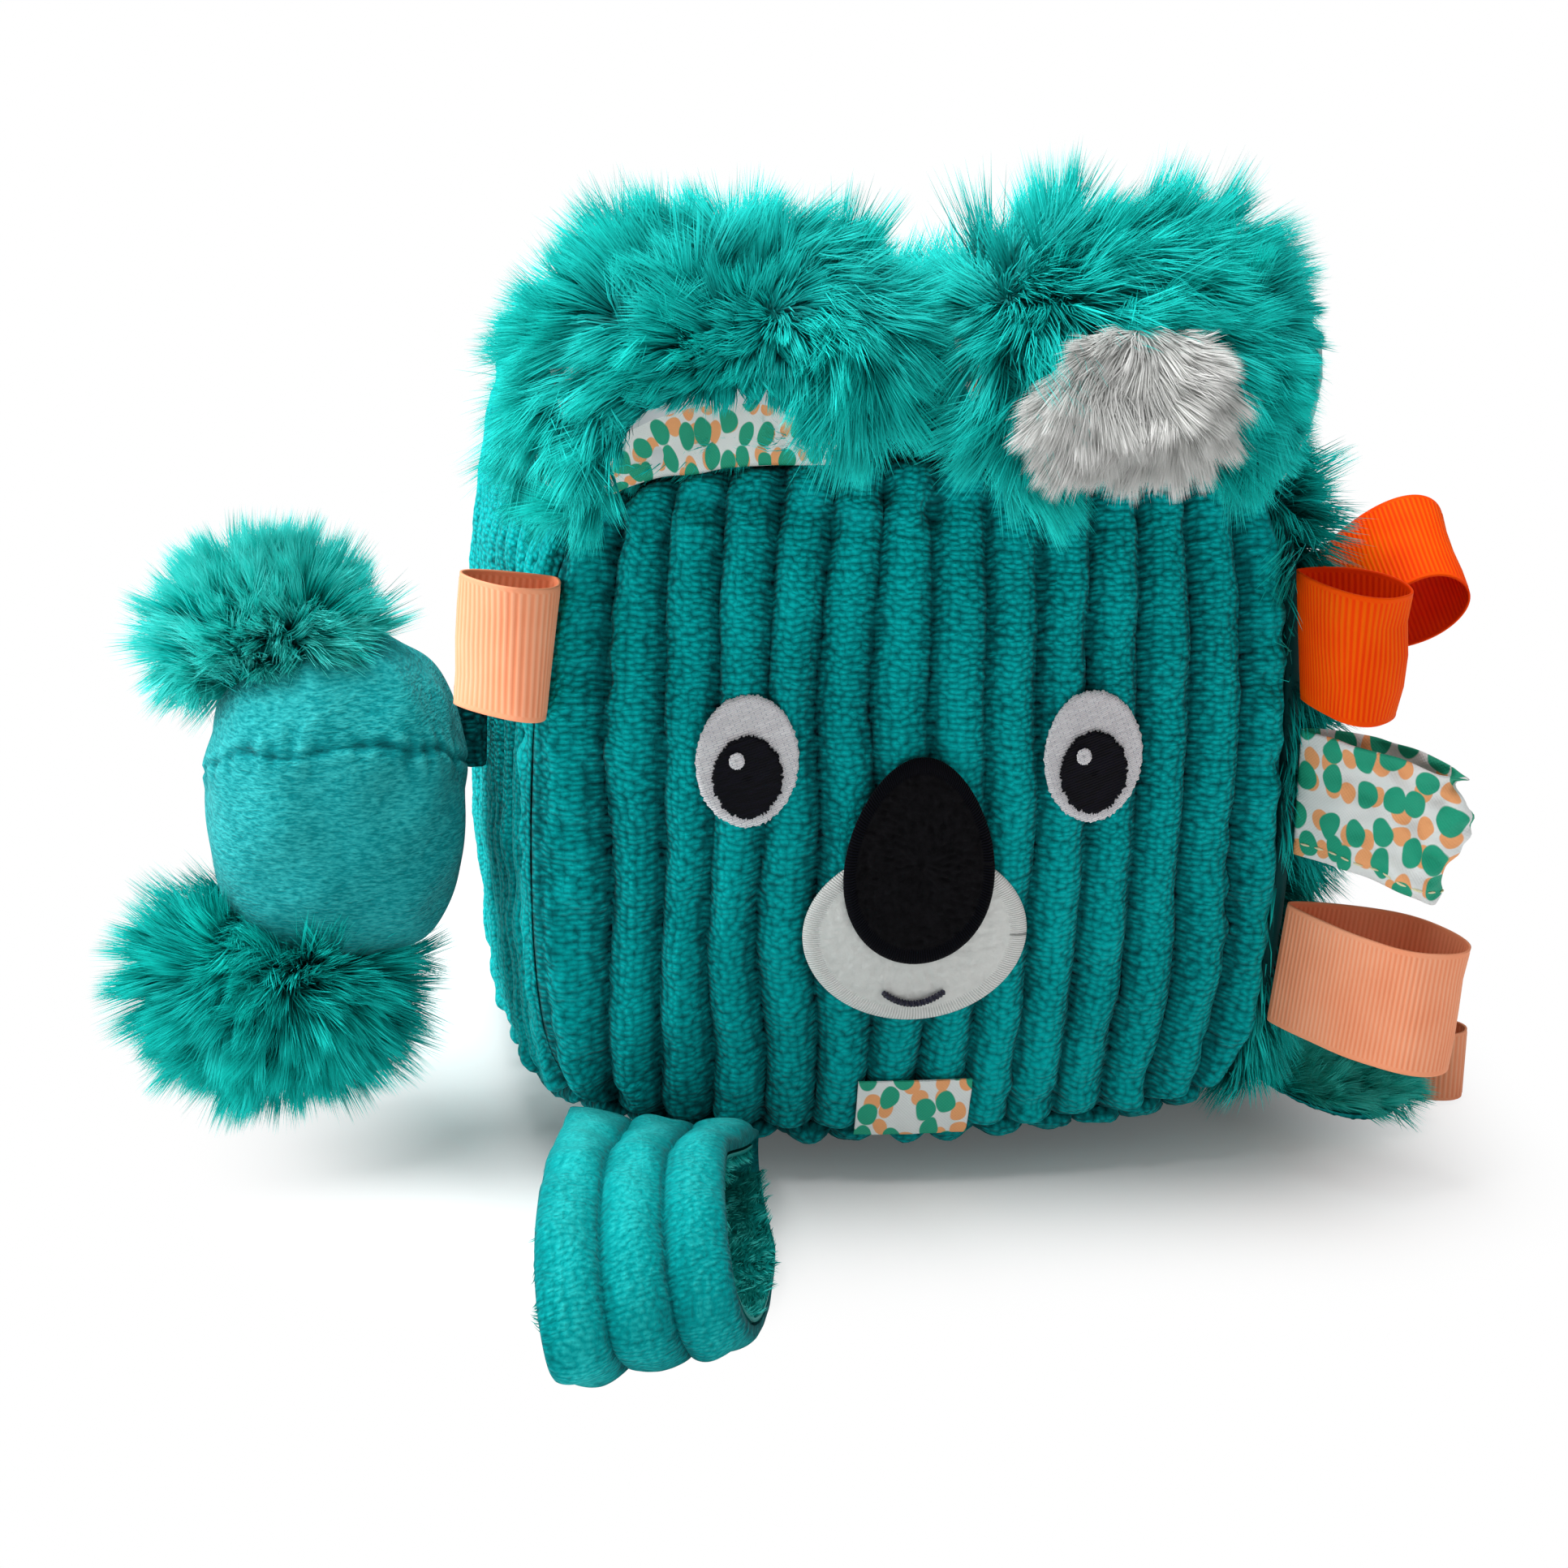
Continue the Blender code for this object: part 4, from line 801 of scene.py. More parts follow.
ear_fur("left", 62000, 61)
tuft_low, tuft_high = (np.array(corner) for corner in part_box("ear_right_tuft"))
tuft_edge = (tuft_high - tuft_low) * (0.22, 0, 0.22)
ear_fur("right", 62000, 71, shun=[(tuft_low + tuft_edge, tuft_high - tuft_edge)])
ear_lining("left", 65)
ear_lining("right", 75)


# White tuft
# A patch of long white fur sewn to the right ear's folded part. Its hair is combed down from its top,
# and spreads to both sides.

def disc(count):
    """A square grid drawn to a disc of radius 1, and how thick a pad over it is: a fourth power circle."""
    b, a = lattice((-1, 1, count), (-1, 1, count))
    across, along = a * np.sqrt(1 - b * b / 2), b * np.sqrt(1 - a * a / 2)
    return across, along, 0.45 + 0.55 * np.sqrt(np.clip(1 - np.hypot(across, along) ** 4, 0, 1))


def ear_tuft():
    """The tuft's backing over a disc of the ear's surface, and its hanging hair."""
    disc_a, disc_b, swell = disc(30)
    across = -0.68 + 0.96 * (disc_a + 1) / 2
    along = 0.77 + 0.150 * (disc_b + 1) / 2
    middle, normal = ear_sheet("right", across, along)
    hang = np.zeros_like(middle)
    hang[..., 2] = -0.003 * np.clip((disc_b + 1) / 2, 0, 1) ** 2
    base = (0.00025 + 0.0013 + ear_fur_depth(across, along))[..., None]
    inner = middle + normal * base + hang
    outer = inner + normal * 0.0022 * swell[..., None]
    roots, normals, row, column = scatter(outer, 30000, 81)
    normals = facing(normals, (0, -1, 0))
    aside, up = column * 2 - 1, 1 - row * 2
    crest = np.clip((up - 0.72) / 0.28, 0, 1)
    comb = unit(np.stack([aside * (0.62 + 0.3 * crest), -0.05 + 0 * aside, 0.7 * crest - 0.9], -1))
    hair = pile(roots, normals, comb, 0.0092 * (1 - 0.35 * crest), 0.00026, 420, 82,
                lift=0.30 + 0.2 * crest, sag=0.30, ruffle=0.22, gather=0.38)
    # The backing's values give it the colour of the hair's roots: painted shade.
    sew("ear_right_white_hair", "ear_right", ["ear_right_tuft"], WHITE_FUR, "white_fur",
        (*slab(outer, inner), {"shade": 0.3, "tip": 0.0}), hair, fill=0.4)


WHITE_FUR = fur_finish("white_fur", dye(138, 139, 137), dye(206, 207, 204), dye(240, 240, 238))
ear_tuft()


# Face
# A plain animal face of the maker's own drawing: white felt muzzle and black plush nose with satin
# stitched edges, two embroidered eyes, and a smile in thick thread.

def thread_finish(name, colour, light):
    """Satin stitch: parallel glossy threads across the piece's own V, each with a painted highlight on its
    crown and painted shade beside it.
    """
    finish = Finish(name, 0.42)
    thread = finish.threads(0.00042) * 0.5 + 0.5
    finish.feed("Base Color", finish.mixed(thread, colour, light))
    finish.bumped(thread, 0.00012, 0.8)
    return finish


def stitch_finish(name, hole, colour, light):
    """Fill stitch: slanting rows of thread, with a small dark hole of painted shade wherever a stitch ends.
    """
    finish = Finish(name, 0.6, specular=0.15)
    sockets = {"Vector": finish.cloth(), "Color1": colour, "Color2": light, "Mortar": hole, "Scale": 1.0,
               "Mortar Size": 0.00007, "Mortar Smooth": 0.9, "Bias": 0.0, "Brick Width": 0.0021,
               "Row Height": 0.00052}
    finish.feed("Base Color", finish.node("TexBrick", {"offset": 0.37, "offset_frequency": 2}, sockets))
    finish.bumped(finish.threads(0.00052) + finish.speckle(0.0006), 0.0001, 0.7)
    return finish


def plush_finish(name, deep, pile_colour, pitch):
    """Felt or clipped plush: a mottled dye and a fuzzy surface."""
    finish = Finish(name, 0.9, sheen=0.03, specular=0.08)
    fine = finish.speckle(pitch, 4.0)
    finish.feed("Base Color", finish.mixed(fine, deep, pile_colour))
    finish.bumped(fine, 0.0005, 0.7)
    return finish


def edged_finish(name, deep, pile_colour, thread_colour, pitch):
    """Plush within a satin stitched edge with threads across it; the mesh carries where its edge is.

    The edge's threads have painted shade between them and a painted highlight on their crowns.
    """
    finish = Finish(name, 0.9, sheen=0.03, specular=0.08)
    edge = finish.carried("edge")
    thread = finish.threads(0.00055) * 0.5 + 0.5
    fine = finish.speckle(pitch, 4.0)
    stitched = finish.mixed(thread, deep, thread_colour)
    finish.feed("Base Color", finish.mixed(edge, finish.mixed(fine, deep, pile_colour), stitched))
    finish.bumped(fine * (1 - edge) * 2.2 + thread * edge, 0.00022, 0.9)
    return finish


WHITE_PLUSH = edged_finish("white_plush", dye(205, 206, 203), dye(228, 229, 226), dye(246, 246, 244), 0.0009)
BLACK_PLUSH = edged_finish("black_plush", dye(0, 0, 1), dye(30, 29, 32), dye(16, 16, 26), 0.0008)
WHITE_STITCH = stitch_finish("white_stitch", dye(120, 122, 140), dye(222, 219, 222), dye(238, 236, 238))
NAVY_STITCH = stitch_finish("navy_stitch", dye(0, 0, 2), dye(9, 8, 18), dye(18, 16, 30))
NAVY_THREAD = thread_finish("navy_thread", dye(7, 7, 22), dye(30, 28, 60))
FACE_X = -0.002
CREST_STACK = 0.0015
STITCH_SLANT = math.radians(20)
MUZZLE_HALVES = (0.0220, 0.0180)
NOSE_HALVES = (0.0145, 0.0210)


def on_front(x, z, out=0.0):
    """A point at a distance in front of the front cover's crests."""
    points = skin("front", x / HALF_WIDTH, (z - BLOCK_CENTRE[2]) / HALF_HEIGHT)
    points[..., 1] -= out
    return points


def patch(name, node, centre, halves, base, thickness, finish, slot, taper=0.0, turns=180, rings=26,
          edge=0.0, fuzz=0.0, jag=0.0, seed=1):
    """An oval patch in rings from its middle to its edge.

    Its thickness falls by a fourth power circle, a satin edge stands up as a low ridge, its foot is closed,
    and the ends of its outer stitches make its outline jagged.
    """
    turn, ring = lattice((0, math.tau, turns, False), (0, 1, rings))
    sweep = ring ** 0.8
    rng = np.random.default_rng(seed)
    ragged = 1 + jag * rng.normal(size=(turns, 1)) * ring ** 8
    x = sweep * np.cos(turn) * ragged
    z = sweep * np.sin(turn) * ragged
    thick = thickness * (0.45 + 0.55 * np.sqrt(np.clip(1 - sweep ** 4, 0, 1)))
    ridge = edge * np.exp(-((sweep - 0.93) / 0.05) ** 2)
    place_x = centre[0] + x * halves[0] * (1 - taper * z)
    place_z = centre[1] + z * halves[1]
    top = on_front(place_x, place_z)
    top[..., 1] -= base + thick + ridge + fuzz * ripples(top, 0.0016, seed) * (sweep < 0.86)
    foot = on_front(place_x, place_z, base)
    if jag:
        flat = (place_x * math.cos(STITCH_SLANT) + place_z * math.sin(STITCH_SLANT),
                place_z * math.cos(STITCH_SLANT) - place_x * math.sin(STITCH_SLANT))
    else:
        flat = (np.hypot(x * halves[0], z * halves[1]), turn * (halves[0] + halves[1]) / 2)
    return sew(name, "block", node and [node], finish, slot,
               (*slab(top, foot, wrap=True), {"edge": np.clip((sweep - 0.84) / 0.03, 0, 1)}),
               uv=np.stack(flat, -1))


muzzle = patch("muzzle_felt", "muzzle_patch", (FACE_X, 0.056), MUZZLE_HALVES, 0.0003, 0.0012, WHITE_PLUSH,
               "white_plush", edge=0.0003, fuzz=0.00012, seed=3)
nose = patch("nose_plush", "nose_patch", (FACE_X, 0.0715), NOSE_HALVES, CREST_STACK + 0.0003, 0.0012,
             BLACK_PLUSH, "black_plush", taper=0.16, edge=0.0004, fuzz=0.00020, seed=4)
for piece, halves, below in ((muzzle, MUZZLE_HALVES, "front_panel"), (nose, NOSE_HALVES, "muzzle_patch")):
    2 * halves[0]
    2 * halves[1]
    math.pi * halves[0] * halves[1]
for sign, side in ((-1, "left"), (1, "right")):
    eye_x = FACE_X + sign * 0.0335
    patch("eye_white_thread_" + side, "eye_white_" + side, (eye_x, 0.0915), (0.0098, 0.0132), 0.0003, 0.0006,
          WHITE_STITCH, "white_plush", rings=14, edge=0.00025, jag=0.012, seed=5)
    patch("eye_pupil_thread_" + side, "eye_pupil_" + side, (eye_x, 0.0885), (0.0066, 0.0082), 0.0012, 0.0006,
          NAVY_STITCH, "navy_thread", rings=12, edge=0.0002, jag=0.030, seed=6)
    patch("eye_spark_" + side, None, (eye_x - 0.0022, 0.0920), (0.0015, 0.0017), 0.0019, 0.0003,
          WHITE_STITCH, "white_plush", turns=60, rings=6, jag=0.04, seed=7)


def ring_faces(rings, columns):
    """Quads between rings of points, and fans from the first and last rings to a point at each end."""
    ring = np.arange(rings - 1)[:, None] * columns + 1
    step, after = np.arange(columns)[None, :], (np.arange(columns)[None, :] + 1) % columns
    quads = np.stack([ring + step, ring + columns + step, ring + columns + after, ring + after], -1)
    last = (rings - 1) * columns + 1
    first_fan = np.stack([0 * step[0], 1 + step[0], 1 + after[0]], -1)
    last_fan = np.stack([0 * step[0] + rings * columns + 1, last + after[0], last + step[0]], -1)
    return [quads.reshape(-1, 4), first_fan, last_fan]


def mouth():
    """A thread along a parabola on the muzzle, with the twist of its two strands standing out on it."""
    share, turn = lattice((-1, 1, 160), (0, math.tau, 12, False))
    height = 0.0446 - 0.0026 * (1 - share ** 2)
    line = on_front(FACE_X + share * 0.0062, height, CREST_STACK + 0.0003 + 0.0005)
    twist = 1 + 0.18 * np.sin(2 * turn + share * 62)
    radius = (0.0006 * twist * np.sqrt(np.clip(1 - np.abs(share) ** 30, 0.02, 1)))[..., None]
    slope = unit(np.gradient(line, axis=0))
    out = unit(np.cross(slope, (0, 1.0, 0)))
    tube = line + radius * (out * np.cos(turn)[..., None] + np.cross(slope, out) * np.sin(turn)[..., None])
    points = np.concatenate([line[0, :1], tube.reshape(-1, 3), line[-1, :1]])
    flat = np.stack([turn * 0.0006, share * 0.0062], -1).reshape(-1, 2)
    sew("mouth_thread", "block", ["mouth_stitch"], NAVY_THREAD, "navy_thread",
        (points, outward(points, ring_faces(160, 12)), {}), uv=np.concatenate([flat[:1], flat, flat[-1:]]))


mouth()


# Side plush head
# A small stuffed ball of short nap velour, closed by a hand sewn seam round its middle, with two fur
# ears. It hangs from the left cover by a short doubled tab of the ribbed cloth.

BALL_CENTRE = np.array([-0.1115, -0.043, 0.073])
BALL_HALVES = np.array([0.0255, 0.0270, 0.0315])
BALL_POWER = 2.7
EAR_POWER = 2.3
EAR_CORE = 0.58


def brushed_finish(name, deep, pile_colour, light):
    """Short pile brushed sideways: fine flat dashes of darker pile, and the painted shade that the mesh
    carries in its hollows.
    """
    finish = Finish(name, 0.85, sheen=0.08, specular=0.08)
    flat = finish.node("Mapping", {}, {"Vector": finish.solid(), "Scale": (1.0, 1.0, 3.4)})
    dashes = finish.speckle(0.0012, 3.0, flat)
    fine = finish.speckle(0.0006, 3.0, flat)
    mottle = (dashes - 0.5) * 0.6 + (fine - 0.5) * 0.5 + (finish.speckle(0.012) - 0.5) * 0.3
    finish.dyed(finish.carried("nap") + mottle, (0.0, deep), (0.5, pile_colour), (1.0, light))
    finish.bumped(dashes + fine * 0.5, 0.0007, 0.8)
    return finish


BALL_VELOUR = brushed_finish("ball_velour", dye(0, 80, 86), dye(8, 134, 139), dye(70, 204, 206))
# A paler copy of the teal fur for the upper ball ear: painted light, as lit from above.
UPPER_EAR_LIT_FUR = fur_finish("upper_ear_lit_fur", dye(0, 92, 92), dye(12, 204, 197), dye(104, 252, 246))


def sphere_directions(rings, columns):
    """Unit directions from the pole above to the pole below."""
    tilt = np.linspace(0, math.pi, rings + 2)[1:-1, None]
    turn = np.linspace(0, math.tau, columns, endpoint=False)[None, :]
    ring = np.stack([np.sin(tilt) * np.cos(turn), np.sin(tilt) * np.sin(turn), np.cos(tilt) + 0 * turn], -1)
    return np.concatenate([[[0, 0, 1.0]], ring.reshape(-1, 3), [[0, 0, -1.0]]])


def lobe(directions, centre, halves, power):
    """A rounded box: each direction reaches where the sum of its powered shares is one; and its normals."""
    reach = (np.abs(directions / halves) ** power).sum(-1, keepdims=True) ** (-1 / power)
    slope = np.sign(directions) * np.abs(directions / halves) ** (power - 1) / halves
    return centre + directions * reach, unit(slope)


def ball():
    """The ball's skin, with a hand sewn groove round it that is higher in front, and gathers along it.

    The groove and the gathers fade with the square of the distance from the seam's tilted plane.
    """
    directions = sphere_directions(130, 220)
    points, normals = lobe(directions, BALL_CENTRE, BALL_HALVES, BALL_POWER)
    offset = points - BALL_CENTRE
    height = offset[:, 2] - 0.0055 + 0.46 * offset[:, 1] + 0.0007 * ripples(points, 0.012, 91)
    groove = np.exp(-(height / 0.0008) ** 2)
    gathers = ripples(points * (1, 1, 0.15), 0.0036, 92) * np.exp(-(height / 0.0045) ** 2)
    relief = 0.0003 * gathers - 0.0008 * groove + 0.0004 * ripples(points, 0.016, 93)
    relief += 0.0002 * np.exp(-(height / 0.006) ** 2) - 0.0002
    points = points + normals * relief[:, None]
    # Painted shade: the colour is darker in the seam's groove and in the gathers' hollows, and paler on their
    # ridges.
    nap = 0.62 - 0.30 * groove + 0.10 * gathers
    sew("side_ball_skin", "side_ball", ["side_ball_cover_upper", "side_ball_cover_lower"], BALL_VELOUR,
        "plain_velour", (points, outward(points, ring_faces(130, 220)), {"nap": nap}), fill=0.85,
        uv=directions[:, ::2] * 0.03)


def ball_ear(name, finish, centre, halves, count, length, seed, droop, curl, front):
    """A fur ear of the ball: a small stuffed core, and hair that stands out from it all round.

    The core bends down with the square of the distance aside from its middle. Where it touches the ball the
    hair stands up and forwards.
    """
    centre = np.array(centre)
    halves = np.array(halves)

    def core(directions):
        return lobe(directions, centre, halves * EAR_CORE, EAR_POWER)

    def bent(points):
        aside = (points[:, 0] - centre[0]) / halves[0]
        return points + np.stack([0 * aside, 0 * aside, -curl * aside ** 2], -1)

    rng = np.random.default_rng(seed)
    roots, normals = core(unit(rng.normal(size=(count, 3))))
    comb = combed(unit(unit(roots - BALL_CENTRE) + unit(roots - centre) * 1.4), normals, 0.35)
    joined = core(unit(BALL_CENTRE - centre)[None])[0]
    near = np.exp(-(np.linalg.norm(roots - joined, axis=-1) / 0.013) ** 2)[:, None]
    comb = unit(comb + near * (0, -2.4, 0.9))
    roots = bent(roots)
    inside = (np.abs((roots - BALL_CENTRE) / (BALL_HALVES - 0.001)) ** BALL_POWER).sum(-1) < 1
    hidden = (roots[:, 1] < front) & (roots[:, 2] < centre[2])
    keep = ~inside & ~hidden & (roots[:, 2] > 0.001)
    hair = pile(roots[keep], normals[keep], comb[keep], length, 0.00030, count // 60, seed + 1, sag=droop,
                ruffle=0.30)
    points = bent(core(sphere_directions(20, 32))[0])
    # The core's values give it a colour between the hair's roots and its middle: painted shade.
    sew(name + "_hair", "side_ball", [name], finish, "teal_fur",
        (points, outward(points, ring_faces(20, 32)), {"shade": 0.45, "tip": 0.25}), hair, fill=0.5)


def tether_tab():
    """The tab: two flat ends joined by a doubled strip, with the cloth's tufts on it."""
    low, high = (np.array(corner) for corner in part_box("side_tether"))
    turn, height = lattice((0, math.tau, 60, False), (0, 1, 50))
    centre, half = (low + high) / 2, (high - low) / 2
    x = np.sign(np.cos(turn)) * np.abs(np.cos(turn)) ** 0.7 * half[0]
    y = np.sign(np.sin(turn)) * np.abs(np.sin(turn)) ** 0.8 * half[1]
    z = (height * 2 - 1) * half[2]
    outer = np.stack([x, y, z], -1) * (1 - 0.06 * np.abs(height * 2 - 1)[..., None] ** 8) + centre
    inner = centre + (outer - centre) * (0.3, 0.3, 1.0)
    tufts = ripples(outer, 0.0015, 97)
    shell = slab(outer + (0, 1, 0) * (tufts * 0.0001)[..., None], inner, wrap=True)
    sew("side_tether_velour", "tether", ["side_tether"], RIBBED_VELOUR, "ribbed_velour",
        (*shell, {"nap": np.clip(0.40 + 0.12 * tufts, 0, 1), "plain": 1.0}),
        uv=np.stack([turn * 0.004, outer[..., 2]], -1), fill=0.3)


ball()
# The upper ear wears the paler copy of the fur: painted light.
ball_ear("side_ball_ear_upper", UPPER_EAR_LIT_FUR, (-0.1235, -0.039, 0.1050), (0.0280, 0.0150, 0.0150), 36000, 0.0125,
         101, 0.08, 0.007, -0.0475)
ball_ear("side_ball_ear_lower", TEAL_FUR, (-0.1240, -0.049, 0.0365), (0.0325, 0.0190, 0.0235), 46000, 0.0140,
         111, 0.02, 0.002, -1.0)
tether_tab()


# Hand strap
# A loop of three padded ribs in paler velour, sewn into the bottom front seam and lying on the floor,
# lined with a longer brushed pile.

def loop_swell(turn):
    """How far a drop shaped loop's sides stand apart: a sine that is pinched near its root."""
    return np.sin(turn) * (0.22 + 0.78 * np.abs(np.sin(turn / 2)) ** 1.5)


LOOP_WIDEST = loop_swell(np.radians(np.arange(180))).max()


def drop_loop(turn, distance, length, bulge):
    """A drop shaped loop moved outwards by a distance: how far out of the seam, and how far aside."""
    def shares(at):
        return (1 - np.cos(at)) / 2 * length, loop_swell(at) / LOOP_WIDEST * bulge / 2
    out, aside = shares(turn)
    ahead, behind = shares(turn + 0.001), shares(turn - 0.001)
    run = unit(np.stack([ahead[0] - behind[0], ahead[1] - behind[1]], -1))
    return out - run[..., 1] * distance, aside + run[..., 0] * distance


STRAP_VELOUR = velour_finish("strap_velour", dye(0, 84, 88), dye(0, 150, 152), dye(56, 214, 212), 0.0012)
STRAP_PILE = fur_finish("strap_pile", dye(0, 90, 87), dye(10, 158, 151), dye(80, 212, 203))
STRAP_X = -0.0485
STRAP_LENGTH = 0.095
STRAP_BULGE = 0.023
STRAP_THICKNESS = 0.0044
STRAP_YAW = math.radians(-10.5)


def strap_point(share, turn, distance):
    """A point of the strap: a drop shaped loop on the floor, turned aside, with its lower half to the right.

    It leaves the seam by a quarter sine, and narrows from its root to the middle of its way.
    """
    root = front_seam(np.array(STRAP_X / HALF_WIDTH), -1)
    rise = STRAP_BULGE / 2 + STRAP_THICKNESS - 0.0005 - root[2]
    run, up = drop_loop(turn, distance, STRAP_LENGTH, STRAP_BULGE)
    reach = np.clip(2 * run / STRAP_LENGTH, 0, 1)
    lift = rise * np.sin(math.pi / 2 * reach) - 0.002 * np.sin(math.pi * reach)
    run = run * (1 - 0.10 * share * reach)
    x = STRAP_X + share * (0.037 - 0.0045 * reach) / 2
    sewn = front_seam(x / HALF_WIDTH, -1)
    height = sewn[..., 2] + (root[2] - sewn[..., 2]) * reach + up + lift
    seat = STRAP_THICKNESS * 0.20 + 0.0006
    x = x + run * math.sin(STRAP_YAW) + 0.0048 * reach * (0.6 - np.sin(turn))
    return np.stack([x, sewn[..., 1] - run - seat, np.maximum(height, 0)], -1)


def strap_outer():
    """The strap's ribbed outside, whose cloth thickens away from the seam, over a longer way below."""
    turn, share = lattice((0, math.tau, 360, False), (-1, 1, 73))
    tip = (1 - np.cos(turn)) / 2
    taper = np.clip(tip * STRAP_LENGTH / np.where(turn < math.pi, 0.012, 0.036), 0, 1)
    cloth = 0.40 + 0.60 * taper
    ribs = rib_height((share + 1) / 2 * 3)
    base = strap_point(share, turn, 0.0)
    knots = 0.00001 * ripples(base, 0.0022, 121) + 0.0003 * ripples(base, 0.012, 122)
    outer = strap_point(share, turn, cloth * (0.0020 + 0.0022 * ribs + knots))
    # Painted shade and highlight: pale on the ribs' crests, dark in their grooves, darker towards the tip
    # where the loop turns down, darker still inside.
    shade = np.clip(0.26 + 0.64 * ribs - 0.22 * tip, 0, 1)
    sew("strap_outer_velour", "strap", ["strap_outer"], STRAP_VELOUR, "strap_velour",
        (*slab(outer, base, wrap=True), {"nap": [shade, shade * 0.6], "plain": 0.04 + 0.50 * tip ** 1.5}),
        uv=np.stack([share * 0.0185, turn * STRAP_LENGTH / math.pi], -1), fill=0.5)


def strap_lining():
    """The strap's brushed lining: a thin backing with a pile that leans out of the opening's sides."""
    first, last = math.tau * 3 / 26, math.tau * 23 / 26
    turn, share = lattice((first, last, 80), (-1, 1, 30))
    upper = strap_point(share, turn, -0.0006)
    lower = strap_point(share, turn, -0.0014)
    roots, normals, row, column = scatter(lower, 20000, 131)
    turns, shares = first + (last - first) * row, column * 2 - 1
    normals = facing(normals, strap_point(shares, turns, np.full(len(row), -0.004)) - roots)
    comb = unit(np.stack([0.2 + 0.5 * shares, -0.5 + 0 * row, 0.1 + 0 * row], -1))
    hair = pile(roots, normals, comb, 0.0020 + 0.0004 * shares, 0.00022, 900, 132, lift=0.6, sag=0.0,
                ruffle=0.2)
    # The backing's values give it a colour near the pile's roots: painted shade.
    sew("strap_lining_pile", "strap", ["strap_lining"], STRAP_PILE, "strap_velour",
        (*slab(upper, lower), {"shade": 0.35, "tip": 0.2}), hair, fill=0.2)


strap_outer()
strap_lining()


# Ribbon loops
# Grosgrain ribbons folded double and sewn into the seams: cross ribs every 0.85 mm and a flat woven
# edge on both sides.

GROSGRAIN_PITCH = 0.00085
RIBBON_WIDTH = 0.0255


def ribbon_finish(name, shade, colour, light):
    """Grosgrain: a satin dye, with painted shade between its cross ribs and a painted highlight on them."""
    finish = Finish(name, 0.60, specular=0.05)
    height = finish.carried("ridge") * 0.55 + finish.speckle(0.006, 1.0) * 0.5 + 0.08
    finish.dyed(height, (0.1, shade), (0.5, colour), (1.0, light))
    return finish


PEACH_RIBBON = ribbon_finish("peach_ribbon", dye(228, 128, 88), dye(250, 158, 118), dye(255, 186, 150))
ORANGE_RIBBON = ribbon_finish("orange_ribbon", dye(226, 40, 0), dye(255, 72, 0), dye(255, 112, 10))


def band(spot, shape, columns, turns, distance):
    """A loop of band: the drop shaped loop carried across its width.

    Its width turns, and the band sags, towards its tip by the square of the way out.
    """
    root, out, across, tip_across = spot
    length, bulge, width, sag = shape
    run, aside = drop_loop(turns, distance, length, bulge)
    way = np.clip(run / length, 0, 1)[..., None] ** 2
    width_line = unit(across * (1 - way) + tip_across * way)
    side_line = unit(np.cross(out, width_line))
    return root + out * (run + 0.0016)[..., None] + side_line * aside[..., None] - sag * way * (0, 0, 1) \
        + width_line * (columns * width / 2)[..., None]


def even_turns(length, bulge, count):
    """Turns that stand evenly along a drop shaped loop, and its length round."""
    fine = np.linspace(0, math.tau, 4001)
    out, aside = drop_loop(fine, 0.0, length, bulge)
    way = np.concatenate([[0], np.cumsum(np.hypot(np.diff(out), np.diff(aside)))])
    return np.interp(np.linspace(0, way[-1], count, endpoint=False), way, fine), way[-1]


def seam_spot(faces, height, turn, tilt=0, width=RIBBON_WIDTH):
    """A loop's root on an upright seam, its direction out, and its width's directions at root and tip."""
    y_sign, x_sign = (SIDES[face][1] for face in faces)
    share, half = (height - BLOCK_CENTRE[2]) / BLOCK_HALF[2], width / 2 / BLOCK_HALF[2]
    turn, tilt = math.radians(turn), math.radians(tilt)
    ends = block_point(np.array([[x_sign, y_sign, share - half], [x_sign, y_sign, share + half]]))
    across = unit(ends[1] - ends[0])
    out = np.array([x_sign * math.cos(turn), y_sign * math.sin(turn), 0])
    tip_across = np.array([x_sign * math.sin(tilt), 0, math.cos(tilt)])
    return ends.mean(0), combed(out, across), across, tip_across


def ribbon(name, body, spot, shape, finish, slot, crumple, seed):
    """A grosgrain loop: ribs across it, none on its woven edges, and slack that the sewing leaves in it."""
    length, bulge, width, _ = shape
    turns, way = even_turns(length, bulge, int(round(2 * length * 1.05 / GROSGRAIN_PITCH)) * 4)
    columns = np.array([-1, -0.97, -0.93, -0.91, -0.5, 0, 0.5, 0.91, 0.93, 0.97, 1])
    turn, column = np.meshgrid(turns, columns, indexing="ij")
    ridge = 0.5 + 0.5 * np.sin(np.arange(len(turns)) * math.pi / 2 + 0.7)[:, None] * (np.abs(column) < 0.92)
    slack = crumple * ripples(band(spot, shape, column, turn, 0.0), 0.018, seed) * np.sin(turn / 2) ** 2
    outer = band(spot, shape, column, turn, 0.00055 + 0.00020 * ridge + slack)
    inner = band(spot, shape, column, turn, 0.00025 - 0.00013 * ridge + slack)
    # The loop's inside carries a lower ridge, so its colour is darker there: painted shade.
    piece = sew(name + "_grosgrain", body, [name], finish, slot,
                (*slab(outer, inner, wrap=True), {"ridge": [ridge, ridge * 0.7 - 0.25]}))


